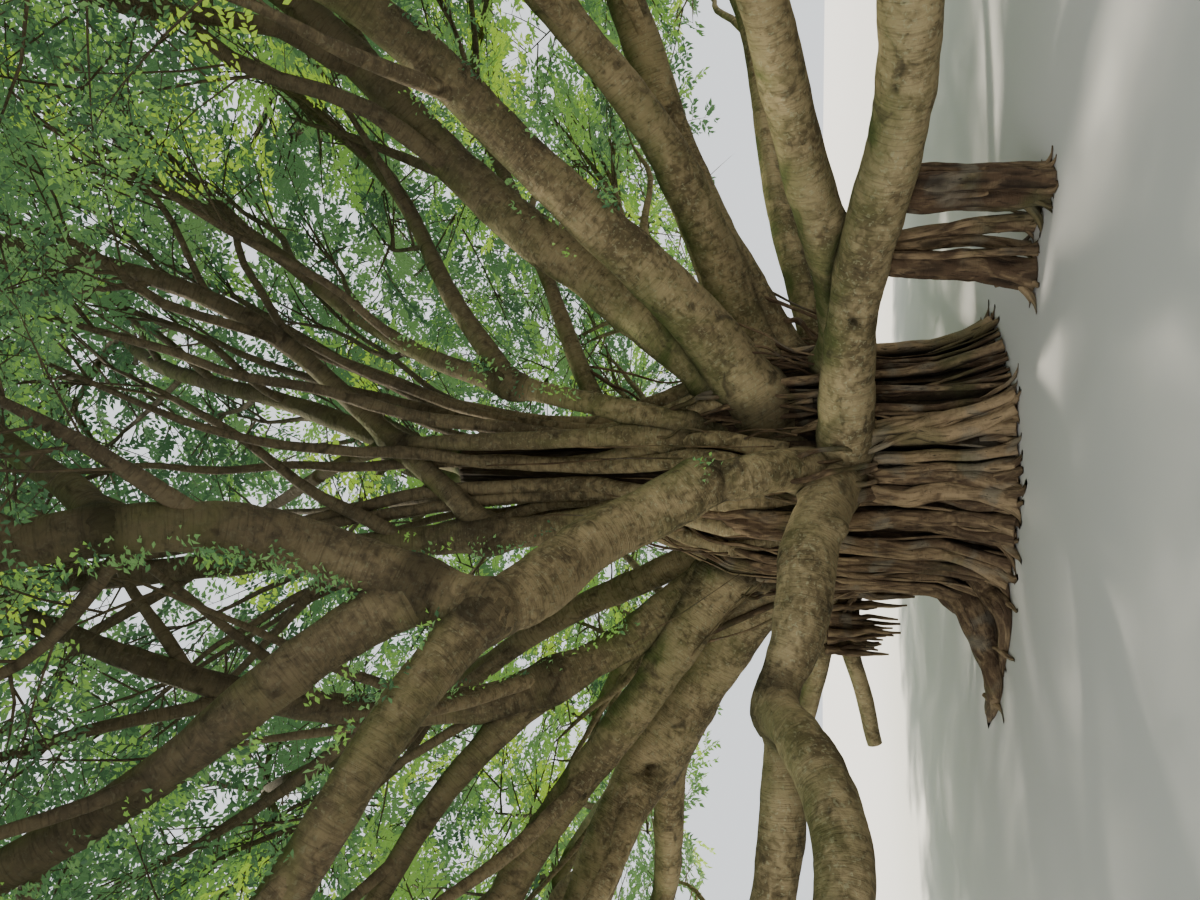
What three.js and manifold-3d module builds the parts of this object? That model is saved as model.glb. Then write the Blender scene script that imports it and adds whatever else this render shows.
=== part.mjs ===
// A banyan tree: a fluted trunk of grown-together roots, long low boughs, and a broad crown.
// Millimetres, +Z up. The origin is the middle of the trunk's flat cut at ground level.
import * as THREE from "three";
import { mergeVertices } from "three/addons/utils/BufferGeometryUtils.js";
import Module from "manifold-3d";

const wasm = await Module();
wasm.setup();

// The crown is a dome: half its width and depth, its top, the height where it is widest, its skirt.
const CROWN = { halfWidth: 10000, halfDepth: 9700, top: 13000, waist: 4600, skirt: 3000 };
// Leaves stay above this cone round the trunk, because the inside of the crown is bare.
const HOLLOW = { peak: 10500, slope: 1.04 };

// The trunk's radius at each height, and the ridges of grown-together roots round it.
const TRUNK = [
  { height: -150, radius: 1240 },
  { height: 100, radius: 1200 },
  { height: 500, radius: 1090 },
  { height: 1600, radius: 1080 },
  { height: 2200, radius: 1030 },
  { height: 2700, radius: 760 },
  { height: 3400, radius: 440 },
  { height: 4900, radius: 250 },
];
// The depth is a share of the radius, from the least to the greatest; the waver is in degrees.
const RIDGES = { count: 21, depth: { least: 0.054, most: 0.126 }, waver: 6 };
// Roots that stand clear of the ridges: bearing of head and foot, height of the head, thickness.
const FREE_ROOTS = [
  { head: 275, foot: 293, height: 1250, thick: 150 },
  { head: 318, foot: 322, height: 2100, thick: 150 },
  { head: 236, foot: 229, height: 1500, thick: 130 },
  { head: 203, foot: 207, height: 1900, thick: 140 },
  { head: 40, foot: 46, height: 1900, thick: 150 },
  { head: 157, foot: 163, height: 1800, thick: 150 },
];
const FREE_ROOT = {
  sides: 5,
  steps: 3,
  crowding: 1.4,
  stand: 60,
  foot: 1.9,
  splay: 220,
  kick: 88,
  sunk: 120,
};
// Roots that run out over the ground: bearing, reach from the trunk's middle, thickness at the trunk.
const GROUND_ROOTS = [
  { bearing: 193, reach: 2200, thick: 300 },
  { bearing: 212, reach: 1800, thick: 220 },
  { bearing: 55, reach: 1750, thick: 240 },
  { bearing: 98, reach: 1850, thick: 240 },
  { bearing: 142, reach: 1900, thick: 260 },
];
// A ground root's rings along its run, and at each its height and its radius as shares of its thickness.
const GROUND_ROOT = {
  rings: [0, 0.35, 0.7, 1],
  heights: [1.1, 0.45, 0.05, -0.25],
  radii: [0.75, 0.59, 0.43, 0.3],
  start: 0.75,
  sway: 10,
};

// Every limb grows by one rule. Bearings are counter-clockwise from +X, so 90 is the back and 270
// the front, and rises are degrees above level; along the limb they change by turn and lift.
// A limb starts at a place inside the trunk, or at a fraction of the length of the limb it forks from.
const LIMBS = [
  // The low boughs that leave the front of the trunk at waist height
  {
    name: "low_left_bough", root: [-50, -850, 1340],
    bearing: 249, turn: -55, rise: 5, lift: 13, length: 2300, thick: 410, thin: 390,
  },
  {
    name: "low_left_near_arm", from: "low_left_bough", at: 0.96,
    bearing: 255, turn: -58, rise: -27, lift: 81, length: 4600, thick: 390, thin: 200,
  },
  {
    name: "low_left_far_arm", from: "low_left_bough", at: 0.9,
    bearing: 193, turn: 4, rise: 0, lift: 34, length: 4900, thick: 330, thin: 160,
  },
  {
    name: "low_right_bough", root: [60, -850, 1240],
    bearing: 325, turn: -20, rise: -6, lift: 4, length: 4800, thick: 390, thin: 340,
  },
  {
    name: "low_right_arm", from: "low_right_bough", at: 0.98,
    bearing: 305, turn: -10, rise: 4, lift: 50, length: 3000, thick: 330, thin: 190,
  },
  // The bough that climbs forward and divides overhead
  {
    name: "front_riser", root: [-30, -850, 1380],
    bearing: 285, turn: -50, rise: 31, lift: 43, length: 1300, thick: 430, thin: 390,
  },
  {
    name: "front_bough", from: "front_riser", at: 0.97,
    bearing: 220, turn: 37, rise: 50, lift: -25, length: 2100, thick: 400, thin: 430,
  },
  {
    name: "front_left_limb", from: "front_bough", at: 0.97,
    bearing: 219, turn: -15, rise: 22, lift: 18, length: 4600, thick: 350, thin: 190,
  },
  {
    name: "front_top_limb", from: "front_bough", at: 0.97,
    bearing: 342, turn: -140, rise: 64, lift: -20, length: 4400, thick: 400, thin: 220,
  },
  {
    name: "front_crown_limb", from: "front_top_limb", at: 0.1,
    bearing: 218, turn: -10, rise: 50, lift: -3, length: 4900, thick: 340, thin: 180,
  },
  {
    name: "front_top_arm", from: "front_top_limb", at: 0.55,
    bearing: 60, turn: -100, rise: 54, lift: 12, length: 3000, thick: 210, thin: 120,
  },
  // Boughs to the left, from the highest down
  {
    name: "left_steep_bough", root: [-750, 0, 2000],
    bearing: 181, turn: 145, rise: 56, lift: 4, length: 5900, thick: 400, thin: 200,
  },
  {
    name: "left_steep_arm", from: "left_steep_bough", at: 0.38,
    bearing: 208, turn: -8, rise: 36, lift: -11, length: 5100, thick: 250, thin: 140,
  },
  {
    name: "left_twin_bough", root: [-600, 300, 2200],
    bearing: 175, turn: -18, rise: 58, lift: -2, length: 6200, thick: 290, thin: 150,
  },
  {
    name: "left_mid_bough", root: [-800, -100, 2100],
    bearing: 192, turn: 12, rise: 44, lift: -36, length: 6100, thick: 430, thin: 200,
  },
  {
    name: "left_big_bough", root: [-800, 200, 1900],
    bearing: 182, turn: 31, rise: 24, lift: 4, length: 6600, thick: 680, thin: 200,
  },
  {
    name: "left_big_arm", from: "left_big_bough", at: 0.27,
    bearing: 166, turn: -12, rise: 2, lift: 26, length: 4700, thick: 330, thin: 160,
  },
  {
    name: "left_inner_bough", root: [-850, 500, 1950],
    bearing: 173, turn: -32, rise: 34, lift: -14, length: 5900, thick: 330, thin: 150,
  },
  {
    name: "left_low_bough", root: [-800, 300, 1400],
    bearing: 170, turn: -18, rise: -2, lift: 27, length: 6000, thick: 260, thin: 140,
  },
  {
    name: "left_stub", root: [-800, 600, 1100],
    bearing: 168, turn: 2, rise: 5, lift: -26, length: 2100, thick: 200, thin: 150,
  },
  // The limbs that go up round the top of the trunk
  {
    name: "centre_left_bough", root: [-250, -300, 2400],
    bearing: 220, turn: 59, rise: 74, lift: -3, length: 7500, thick: 340, thin: 160,
  },
  {
    name: "centre_right_limb", from: "centre_left_bough", at: 0.27,
    bearing: 4, turn: -80, rise: 39, lift: 28, length: 6000, thick: 210, thin: 130,
  },
  {
    name: "centre_top_limb", root: [0, 100, 4300],
    bearing: 10, turn: 50, rise: 84, lift: -28, length: 6300, thick: 250, thin: 140,
  },
  {
    name: "s_bough", root: [200, -600, 2200],
    bearing: 107, turn: 37, rise: 105, lift: -40, length: 4300, thick: 190, thin: 120,
  },
  {
    name: "inner_right_bough", root: [180, -650, 1900],
    bearing: 348, turn: 40, rise: 78, lift: -27, length: 7000, thick: 210, thin: 120,
  },
  {
    name: "high_right_limb", from: "inner_right_bough", at: 0.33,
    bearing: 22, turn: 6, rise: 30, lift: 16, length: 5200, thick: 190, thin: 120,
  },
  // Boughs to the right, from the highest down
  {
    name: "right_steep_bough", root: [240, -500, 1740],
    bearing: 4, turn: -46, rise: 48, lift: -4, length: 7600, thick: 540, thin: 190,
  },
  {
    name: "right_rising_bough", root: [500, -600, 1900],
    bearing: 346, turn: -67, rise: 31, lift: 21, length: 7000, thick: 500, thin: 190,
  },
  {
    name: "thin_right_bough", root: [230, 200, 3300],
    bearing: 11, turn: 19, rise: 36, lift: -34, length: 7300, thick: 190, thin: 110,
  },
  {
    name: "right_fork_bough", root: [700, -200, 1900],
    bearing: 345, turn: -36, rise: 22, lift: 16, length: 6800, thick: 450, thin: 180,
  },
  {
    name: "right_spread_bough", root: [850, 0, 1700],
    bearing: 351, turn: -22, rise: 20, lift: 8, length: 6800, thick: 450, thin: 180,
  },
  {
    name: "right_level_bough", root: [800, 200, 1400],
    bearing: 2, turn: 34, rise: 5, lift: 19, length: 7000, thick: 270, thin: 150,
  },
  {
    name: "right_near_bough", root: [750, -350, 1300],
    bearing: 311, turn: -18, rise: -4, lift: 38, length: 5800, thick: 420, thin: 200,
  },
  // Boughs at the back
  {
    name: "back_right_bough", root: [600, 600, 1850],
    bearing: 58, turn: -8, rise: 28, lift: 0, length: 5700, thick: 420, thin: 180,
  },
  {
    name: "back_bough", root: [100, 800, 1900],
    bearing: 94, turn: -8, rise: 24, lift: 6, length: 6000, thick: 440, thin: 180,
  },
  {
    name: "back_left_bough", root: [-500, 700, 1950],
    bearing: 124, turn: 8, rise: 27, lift: 2, length: 5900, thick: 400, thin: 180,
  },
  {
    name: "back_high_bough", root: [-100, 500, 2500],
    bearing: 100, turn: -20, rise: 62, lift: -14, length: 5600, thick: 320, thin: 160,
  },
];
const LIMB_SIDES = 6;
const LIMB_RING_SPACING = 1350;
// A limb weaves a little from side to side, and swells where it joins what carries it.
const WEAVE = { swing: 7, waves: 1.5 };
const COLLAR = { swell: 0.3, length: 350 };

// Pillars: roots that have reached the ground under the low right bough, with splayed feet.
const PILLARS = [
  { name: "pillar_left", foot: [1390, -1700], head: [1540, -1840], thick: 205, footSwell: 1.9 },
  { name: "pillar_right", foot: [1880, -2000], head: [1960, -2150], thick: 250, footSwell: 1.7 },
];
// The plaited root beside the left pillar
const PLAIT = { foot: [1700, -1660], head: [1600, -1850], thick: 110, footSwell: 1.8 };
const PILLAR = { height: 1180, sides: 8, steps: 5, crowding: 1.3, splay: 160, sunk: 100 };

// Each mass of foliage: the limb whose tip carries it, and its middle.
const MASSES = [
  { name: "mass_front_left_skirt", carrier: "low_left_near_arm", centre: [-5500, -6100, 4700] },
  { name: "mass_front_right_skirt", carrier: "low_right_arm", centre: [5700, -6200, 4700] },
  { name: "mass_front", carrier: "front_top_limb", centre: [0, -7400, 6000] },
  { name: "mass_left_skirt", carrier: "low_left_far_arm", centre: [-7700, -2400, 4700] },
  { name: "mass_back_left_side_skirt", carrier: "left_big_arm", centre: [-7600, 2800, 4800] },
  { name: "mass_right_skirt", carrier: "right_spread_bough", centre: [7800, -2000, 4900] },
  { name: "mass_back_right_side_skirt", carrier: "right_level_bough", centre: [7500, 3400, 4800] },
  { name: "mass_back_right_skirt", carrier: "back_right_bough", centre: [4300, 7000, 4800] },
  { name: "mass_back_skirt", carrier: "back_bough", centre: [-200, 7600, 5000] },
  { name: "mass_back_left_skirt", carrier: "back_left_bough", centre: [-4700, 6500, 4800] },
  { name: "mass_left_shoulder", carrier: "left_steep_arm", centre: [-6000, -1700, 8000] },
  { name: "mass_back_left_shoulder", carrier: "left_twin_bough", centre: [-4500, 2800, 8600] },
  { name: "mass_back_right_shoulder", carrier: "high_right_limb", centre: [5200, 2700, 8400] },
  { name: "mass_right_shoulder", carrier: "right_steep_bough", centre: [6000, -1600, 8200] },
  { name: "mass_front_right_shoulder", carrier: "right_rising_bough", centre: [3900, -5400, 8200] },
  { name: "mass_front_left_shoulder", carrier: "front_crown_limb", centre: [-3900, -5400, 8300] },
  { name: "mass_back_shoulder", carrier: "back_high_bough", centre: [300, 5300, 8700] },
  { name: "mass_top_left", carrier: "centre_left_bough", centre: [-2100, -2300, 10700] },
  { name: "mass_top_right", carrier: "centre_right_limb", centre: [2300, -2200, 10700] },
  { name: "mass_top", carrier: "centre_top_limb", centre: [300, 1700, 11200] },
];
// A mass is a stem with branches round it, and each branch ends in a leaf and has more at its sides.
// Branches start between the first and the last fraction of the stem; a branch that doesn't fit
// tries the next reach. They tilt from the stem, the last one least, and lean towards level.
const BRANCHES = {
  count: 5,
  first: 0.3,
  last: 0.98,
  tilt: 62,
  endTilt: 5,
  flattening: 0.75,
  lift: 0.08,
  reaches: [1900, 1450, 1050, 700],
  thick: 90,
  thin: 80,
  sides: 3,
};
const STEM = {
  sides: 4,
  rings: [0, 0.35, 0.7, 1],
  taper: 0.6,
  bend: 0.4,
  beyond: 0.45,
  thin: 130,
  foot: 80,
};
// The leaves are larger than life: each stands for a spray of small ones.
const LEAF = {
  length: 1650,
  width: 920,
  thickness: 70,
  sunk: 3,
  endTilt: 22,
  sideTilt: 58,
  flattening: 0.6,
  droop: 0.1,
  roll: 144,
};
// How far from its root a leaf may meet the twigs: anywhere else it would cross them.
const ROOT_ZONE = 200;
const LEAF_PLACES = [0.98, 0.75, 0.45];
// A leaf that doesn't fit tries these turns to the side, in degrees, before it is left out.
const LEAF_TURNS = [0, 35, -35, 70, -70, 110, -110];

// Touching pieces keep this gap, and a leaf keeps this clearance from limbs and from the next mass.
const GAP = 0.4;
// The trunk's skin slopes, so limbs are cut a little further from it.
const TRUNK_GAP = 0.9;
const CELL_CLEARANCE = 15;
const LIMB_CLEARANCE = 25;

const DEGREE = Math.PI / 180;
const GOLDEN_ANGLE = Math.PI * (3 - Math.sqrt(5));
const UP = new THREE.Vector3(0, 0, 1);

const FINISHES = {
  trunk: { color: 0x6b5646, roughness: 0.92, metalness: 0 },
  limb: { color: 0x8c8069, roughness: 0.88, metalness: 0 },
  foliage: { color: 0x5f8f2e, roughness: 0.6, metalness: 0 },
};

// A number from 0 to 1 that depends only on the whole numbers it is given.
function chance(...keys) {
  let mixed = 2166136261;
  for (const key of keys) {
    mixed = Math.imul(mixed ^ key, 16777619);
    mixed = Math.imul(mixed ^ (mixed >>> 13), 1540483477);
    mixed ^= mixed >>> 15;
  }
  return (mixed >>> 0) / 4294967296;
}

// A closed three.js geometry as a manifold solid, facing out.
function solidFrom(geometry) {
  const bare = geometry.clone();
  bare.deleteAttribute("normal");
  bare.deleteAttribute("uv");
  const merged = mergeVertices(bare, 1e-3);
  return new wasm.Manifold(
    new wasm.Mesh({
      numProp: 3,
      vertProperties: new Float32Array(merged.attributes.position.array),
      triVerts: new Uint32Array(merged.index.array),
    }),
  );
}

// A manifold solid as a three.js mesh with its name and finish.
function meshFrom(name, solid, finish) {
  const { vertProperties, triVerts } = solid.getMesh();
  const geometry = new THREE.BufferGeometry();
  geometry.setAttribute("position", new THREE.BufferAttribute(vertProperties, 3));
  geometry.setIndex(new THREE.BufferAttribute(triVerts, 1));
  geometry.computeVertexNormals();
  const mesh = new THREE.Mesh(geometry, new THREE.MeshStandardMaterial(FINISHES[finish]));
  mesh.name = name;
  return mesh;
}

function largestPiece(solid) {
  const pieces = solid.decompose();
  return pieces.reduce((best, piece) => (piece.volume() > best.volume() ? piece : best));
}

function direction(bearing, rise) {
  const level = Math.cos(rise * DEGREE);
  return new THREE.Vector3(
    level * Math.cos(bearing * DEGREE),
    level * Math.sin(bearing * DEGREE),
    Math.sin(rise * DEGREE),
  );
}

// A closed tapering rod: a cylinder whose rings are moved onto the points of a path.
function bentRod(path, radii, sides) {
  const steps = path.length - 1;
  const tangents = path.map((_, i) =>
    path[Math.min(i + 1, steps)].clone().sub(path[Math.max(i - 1, 0)]).normalize(),
  );
  let across = new THREE.Vector3(1, 0, 0);
  if (Math.abs(tangents[0].x) > 0.8) across.set(0, 0, 1);
  const frames = tangents.map((tangent) => {
    across = across.clone().addScaledVector(tangent, -across.dot(tangent)).normalize();
    return { across, aside: across.clone().cross(tangent) };
  });
  const rod = new THREE.CylinderGeometry(1, 1, 1, sides, steps);
  const position = rod.attributes.position;
  for (let i = 0; i < position.count; i++) {
    const ring = Math.round((position.getY(i) + 0.5) * steps);
    const { across: u, aside: v } = frames[ring];
    const moved = path[ring]
      .clone()
      .addScaledVector(u, position.getX(i) * radii[ring])
      .addScaledVector(v, position.getZ(i) * radii[ring]);
    position.setXYZ(i, moved.x, moved.y, moved.z);
  }
  return solidFrom(rod);
}

// The same path with both its ends moved outwards
function lengthened(path, extra) {
  if (extra === 0) return path;
  const last = path.length - 1;
  const moved = path.map((point) => point.clone());
  moved[0].addScaledVector(path[0].clone().sub(path[1]).normalize(), extra);
  moved[last].addScaledVector(path[last].clone().sub(path[last - 1]).normalize(), extra);
  return moved;
}

// Limbs

const PATH_STEPS = 24;

// The path of a limb: its heading turns and lifts evenly, and weaves a little.
function limbPath(limb, start, index) {
  const path = [start.clone()];
  const phase = 2 * Math.PI * chance(index, 1);
  for (let step = 0; step < PATH_STEPS; step++) {
    const t = (step + 0.5) / PATH_STEPS;
    const wave = 2 * Math.PI * WEAVE.waves * t + phase;
    const bearing = limb.bearing + limb.turn * t + WEAVE.swing * Math.sin(wave);
    const rise = limb.rise + limb.lift * t + WEAVE.swing * Math.cos(wave);
    path.push(path[step].clone().addScaledVector(direction(bearing, rise), limb.length / PATH_STEPS));
  }
  return path;
}

function alongPath(path, t) {
  const place = t * (path.length - 1);
  const i = Math.min(Math.floor(place), path.length - 2);
  return path[i].clone().lerp(path[i + 1], place - i);
}

function limbRadius(limb, t) {
  const swell = 1 + COLLAR.swell * Math.exp((-t * limb.length) / COLLAR.length);
  return (swell * (limb.thick + (limb.thin - limb.thick) * t)) / 2;
}

// The places of a limb's rings, as fractions of its length
function ringPlaces(limb) {
  const rings = Math.max(3, Math.round(limb.length / LIMB_RING_SPACING));
  return Array.from({ length: rings + 1 }, (_, i) => i / rings);
}

function limbRod(limb, extra) {
  const places = ringPlaces(limb);
  const path = places.map((t) => alongPath(limb.path, t));
  const radii = places.map((t) => limbRadius(limb, t) + extra);
  return bentRod(lengthened(path, extra), radii, LIMB_SIDES);
}

// Where a limb ends, and the way its flat end faces
function limbEnd(limb) {
  const places = ringPlaces(limb);
  const tip = alongPath(limb.path, 1);
  const before = alongPath(limb.path, places[places.length - 2]);
  return { tip, heading: tip.clone().sub(before).normalize() };
}

const limbs = new Map();
LIMBS.forEach((spec, index) => {
  const start = spec.root
    ? new THREE.Vector3(...spec.root)
    : alongPath(limbs.get(spec.from).path, spec.at);
  limbs.set(spec.name, { ...spec, path: limbPath(spec, start, index) });
});

// The trunk

function trunkRadius(height) {
  const above = Math.max(1, TRUNK.findIndex((ring) => ring.height >= height));
  const [low, high] = [TRUNK[above - 1], TRUNK[above]];
  return low.radius + ((high.radius - low.radius) * (height - low.height)) / (high.height - low.height);
}

// The trunk's body: a turned shape whose columns of points stand in and out as ridges.
function ridgedBody(extra) {
  const rim = TRUNK.map((ring) => new THREE.Vector2(ring.radius + extra, ring.height));
  const [low, high] = [rim[0], rim[rim.length - 1]];
  const profile = [new THREE.Vector2(0, low.y), ...rim, new THREE.Vector2(0, high.y + extra)];
  const columns = 2 * RIDGES.count;
  const body = new THREE.LatheGeometry(profile, columns).rotateX(Math.PI / 2);
  const position = body.attributes.position;
  const rings = profile.length;
  for (let i = 0; i < position.count; i++) {
    const column = Math.floor(i / rings) % columns;
    const ring = i % rings;
    const sign = column % 2 ? 1 : -1;
    const { least, most } = RIDGES.depth;
    const swing = 1 + sign * (least + (most - least) * chance(column, 3));
    const angle = RIDGES.waver * (chance(Math.floor(column / 2), ring, 2) - 0.5) * DEGREE;
    const point = new THREE.Vector3().fromBufferAttribute(position, i).applyAxisAngle(UP, angle);
    position.setXYZ(i, point.x * swing, point.y * swing, point.z);
  }
  return solidFrom(body);
}

// A root that stands proud of the ridges, from its head on the trunk to its splayed foot.
function freeRoot({ head, foot, height, thick }, extra) {
  const path = [];
  const radii = [];
  for (let step = 0; step <= FREE_ROOT.steps; step++) {
    const t = (step / FREE_ROOT.steps) ** FREE_ROOT.crowding;
    const z = (height + FREE_ROOT.sunk) * t - FREE_ROOT.sunk;
    const splay = Math.exp(-Math.max(z, 0) / FREE_ROOT.splay);
    const out = trunkRadius(z) + FREE_ROOT.stand * (1 - t) + FREE_ROOT.kick * splay;
    path.push(direction(foot + (head - foot) * t, 0).multiplyScalar(out).setZ(z));
    radii.push((thick / 2) * (1 + (FREE_ROOT.foot - 1) * splay) + extra);
  }
  return bentRod(lengthened(path, extra), radii, FREE_ROOT.sides);
}

// A root that leaves the trunk near the ground and runs out until it is under the surface.
function groundRoot({ bearing, reach, thick }, extra) {
  const start = GROUND_ROOT.start * trunkRadius(0);
  const path = GROUND_ROOT.rings.map((t, i) =>
    direction(bearing + GROUND_ROOT.sway * Math.sin(4 * t), 0)
      .multiplyScalar(start + (reach - start) * t)
      .setZ(thick * GROUND_ROOT.heights[i]),
  );
  const radii = GROUND_ROOT.radii.map((share) => thick * share + extra);
  return bentRod(lengthened(path, extra), radii, FREE_ROOT.sides);
}

function aboveGround(solid) {
  const size = 3 * CROWN.halfWidth;
  const soil = new THREE.BoxGeometry(size, size, size).translate(0, 0, -size / 2);
  return solid.subtract(solidFrom(soil));
}

function trunk(extra) {
  let solid = ridgedBody(extra);
  for (const root of FREE_ROOTS) solid = solid.add(freeRoot(root, extra));
  for (const root of GROUND_ROOTS) solid = solid.add(groundRoot(root, extra));
  return aboveGround(solid);
}

// Pillars

function pillar({ foot, head, thick, footSwell }) {
  const path = [];
  const radii = [];
  for (let step = 0; step <= PILLAR.steps; step++) {
    const t = step / PILLAR.steps;
    const z = (PILLAR.height + PILLAR.sunk) * t ** PILLAR.crowding - PILLAR.sunk;
    path.push(new THREE.Vector3(...foot, z).lerp(new THREE.Vector3(...head, z), t));
    radii.push((thick / 2) * (1 + (footSwell - 1) * Math.exp(-Math.max(z, 0) / PILLAR.splay)));
  }
  return aboveGround(bentRod(path, radii, PILLAR.sides));
}

// Foliage

function insideCell(point, mass) {
  return MASSES.every((other) => {
    if (other.name === mass.name) return true;
    const mine = new THREE.Vector3(...mass.centre);
    const theirs = new THREE.Vector3(...other.centre);
    const margin = point.distanceToSquared(theirs) - point.distanceToSquared(mine);
    return margin / (2 * mine.distanceTo(theirs)) > CELL_CLEARANCE;
  });
}

function insideCrown({ x, y, z }) {
  const above = Math.max(0, z - CROWN.waist) / (CROWN.top - CROWN.waist);
  const across = (x / CROWN.halfWidth) ** 2 + (y / CROWN.halfDepth) ** 2;
  return z > CROWN.skirt && across + above ** 2 < 1;
}

function clearOfHollow({ x, y, z }) {
  return z > HOLLOW.peak - HOLLOW.slope * Math.hypot(x, y);
}

// True where a rod of this radius, from one point to another, touches no limb.
function clearOfLimbs(from, to, radius) {
  const rod = new THREE.Line3(from, to);
  for (const limb of limbs.values()) {
    for (let i = 0; i < PATH_STEPS; i++) {
      const reach = limbRadius(limb, i / PATH_STEPS) + radius + LIMB_CLEARANCE;
      const piece = new THREE.Line3(limb.path[i], limb.path[i + 1]);
      if (rod.distanceSqToLine3(piece) < reach ** 2) return false;
    }
  }
  return true;
}

// One leaf: a flattened octahedron from its sunk root along its heading, or null where it would
// leave the crown or the space of its mass, or touch a limb or another leaf.
function leafAt(mass, twigs, root, heading, roll) {
  const end = root.clone().addScaledVector(heading, LEAF.length);
  const aside = heading.clone().cross(UP).normalize().applyAxisAngle(heading, roll);
  const flat = heading.clone().cross(aside);
  const frame = new THREE.Matrix4().makeBasis(
    heading.clone().multiplyScalar(LEAF.length / 2),
    aside.multiplyScalar(LEAF.width / 2),
    flat.multiplyScalar(LEAF.thickness / 2),
  );
  frame.setPosition(root.clone().lerp(end, 0.5));
  const geometry = new THREE.OctahedronGeometry(1).applyMatrix4(frame);
  const corners = geometry.attributes.position;
  for (let i = 0; i < corners.count; i++) {
    const corner = new THREE.Vector3().fromBufferAttribute(corners, i);
    if (!insideCrown(corner) || !insideCell(corner, mass)) return null;
  }
  if (!clearOfHollow(end)) return null;
  if (!clearOfLimbs(root, end, LEAF.width / 2)) return null;
  const blade = solidFrom(geometry);
  return meetsOnlyNear(root, twigs.intersect(blade)) ? blade : null;
}

// True where the shared volume is one piece that lies close to a leaf's root.
function meetsOnlyNear(root, shared) {
  if (shared.isEmpty()) return false;
  const { min, max } = shared.boundingBox();
  return [min, max].every((corner) => new THREE.Vector3(...corner).distanceTo(root) < ROOT_ZONE);
}

// The first turn of the leaf to the side that fits
function fittedLeaf(mass, twigs, place, heading, roll) {
  for (const turn of LEAF_TURNS) {
    const turned = heading.clone().applyAxisAngle(UP, turn * DEGREE);
    const root = place.clone().addScaledVector(turned, -LEAF.sunk);
    const blade = leafAt(mass, twigs, root, turned, roll);
    if (blade) return blade;
  }
  return null;
}

function branchEnd(mass, from, heading) {
  for (const reach of BRANCHES.reaches) {
    const end = from.clone().addScaledVector(heading, reach);
    if (!insideCrown(end) || !insideCell(end, mass)) continue;
    if (clearOfLimbs(from, end, BRANCHES.thick / 2)) return end;
  }
  return null;
}

// The stem goes on from its limb's tip, bends to the middle of the mass and ends beyond it.
function stemPath(mass) {
  const { tip, heading } = limbEnd(limbs.get(mass.carrier));
  const centre = new THREE.Vector3(...mass.centre);
  const start = tip.clone().addScaledVector(heading, GAP);
  const bend = start.clone().addScaledVector(heading, STEM.bend * start.distanceTo(centre));
  const end = centre.clone().addScaledVector(centre.clone().sub(start), STEM.beyond);
  return new THREE.QuadraticBezierCurve3(start, bend, end).getPoints(PATH_STEPS);
}

// The stem's rod: its foot is straight, so that it meets the limb's flat end squarely.
function stemRod(mass, stem) {
  const carrier = limbs.get(mass.carrier);
  const radii = STEM.rings.map((t) => (carrier.thin + (STEM.thin - carrier.thin) * t ** STEM.taper) / 2);
  const points = STEM.rings.map((t) => alongPath(stem, t));
  const foot = points[0].clone().addScaledVector(limbEnd(carrier).heading, STEM.foot);
  points.splice(1, 0, foot);
  radii.splice(1, 0, radii[0]);
  return bentRod(points, radii, STEM.sides);
}

function foliageMass(mass, index) {
  const stem = stemPath(mass);
  let solid = stemRod(mass, stem);
  for (let b = 0; b <= BRANCHES.count; b++) {
    const t = BRANCHES.first + ((1 - BRANCHES.first) * b) / BRANCHES.count;
    const from = alongPath(stem, Math.min(t, BRANCHES.last));
    const along = alongPath(stem, 1).sub(alongPath(stem, BRANCHES.first)).normalize();
    const square = along.clone().cross(UP).normalize();
    const tilt = b === BRANCHES.count ? BRANCHES.endTilt : BRANCHES.tilt;
    const heading = along
      .clone()
      .applyAxisAngle(square, tilt * DEGREE)
      .applyAxisAngle(along, GOLDEN_ANGLE * b + 2 * Math.PI * chance(index, 6));
    heading.z = BRANCHES.flattening * heading.z + BRANCHES.lift;
    heading.normalize();
    const end = branchEnd(mass, from, heading);
    if (!end) continue;
    solid = solid.add(bentRod([from, end], [BRANCHES.thick / 2, BRANCHES.thin / 2], BRANCHES.sides));
    LEAF_PLACES.forEach((part, l) => {
      const side = (l === 0 ? LEAF.endTilt : LEAF.sideTilt) * (l % 2 ? 1 : -1);
      const leafHeading = heading.clone().applyAxisAngle(UP, side * DEGREE);
      leafHeading.z = LEAF.flattening * leafHeading.z - LEAF.droop;
      const roll = (chance(index, b, l, 7) - 0.5) * LEAF.roll * DEGREE;
      const blade = fittedLeaf(mass, solid, from.clone().lerp(end, part), leafHeading.normalize(), roll);
      if (blade) solid = solid.add(blade);
    });
  }
  return solid;
}

// The whole tree

const tree = new THREE.Group();
tree.name = "banyan_tree";
tree.add(meshFrom("trunk", trunk(0), "trunk"));

const cutters = [trunk(TRUNK_GAP)];
for (const limb of limbs.values()) {
  let solid = limbRod(limb, 0);
  for (const cutter of cutters) solid = solid.subtract(cutter);
  tree.add(meshFrom(limb.name, largestPiece(solid), "limb"));
  cutters.push(limbRod(limb, GAP));
}

PILLARS.forEach((spec, index) => {
  let solid = pillar(spec);
  if (index === 0) solid = solid.add(pillar(PLAIT));
  for (const cutter of cutters) solid = solid.subtract(cutter);
  tree.add(meshFrom(spec.name, largestPiece(solid), "trunk"));
});

MASSES.forEach((mass, index) => {
  tree.add(meshFrom(mass.name, foliageMass(mass, index), "foliage"));
});

export default tree;
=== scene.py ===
"""An old banyan tree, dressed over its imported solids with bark, roots, branches, twigs and leaves.

Metres, +Z up. The origin is the middle of the trunk's flat cut at ground level.
"""

import logging
import math
from collections import Counter
from dataclasses import dataclass, field, replace
from enum import Enum
from itertools import product

import bpy
import numpy as np
from mathutils import Matrix


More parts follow.
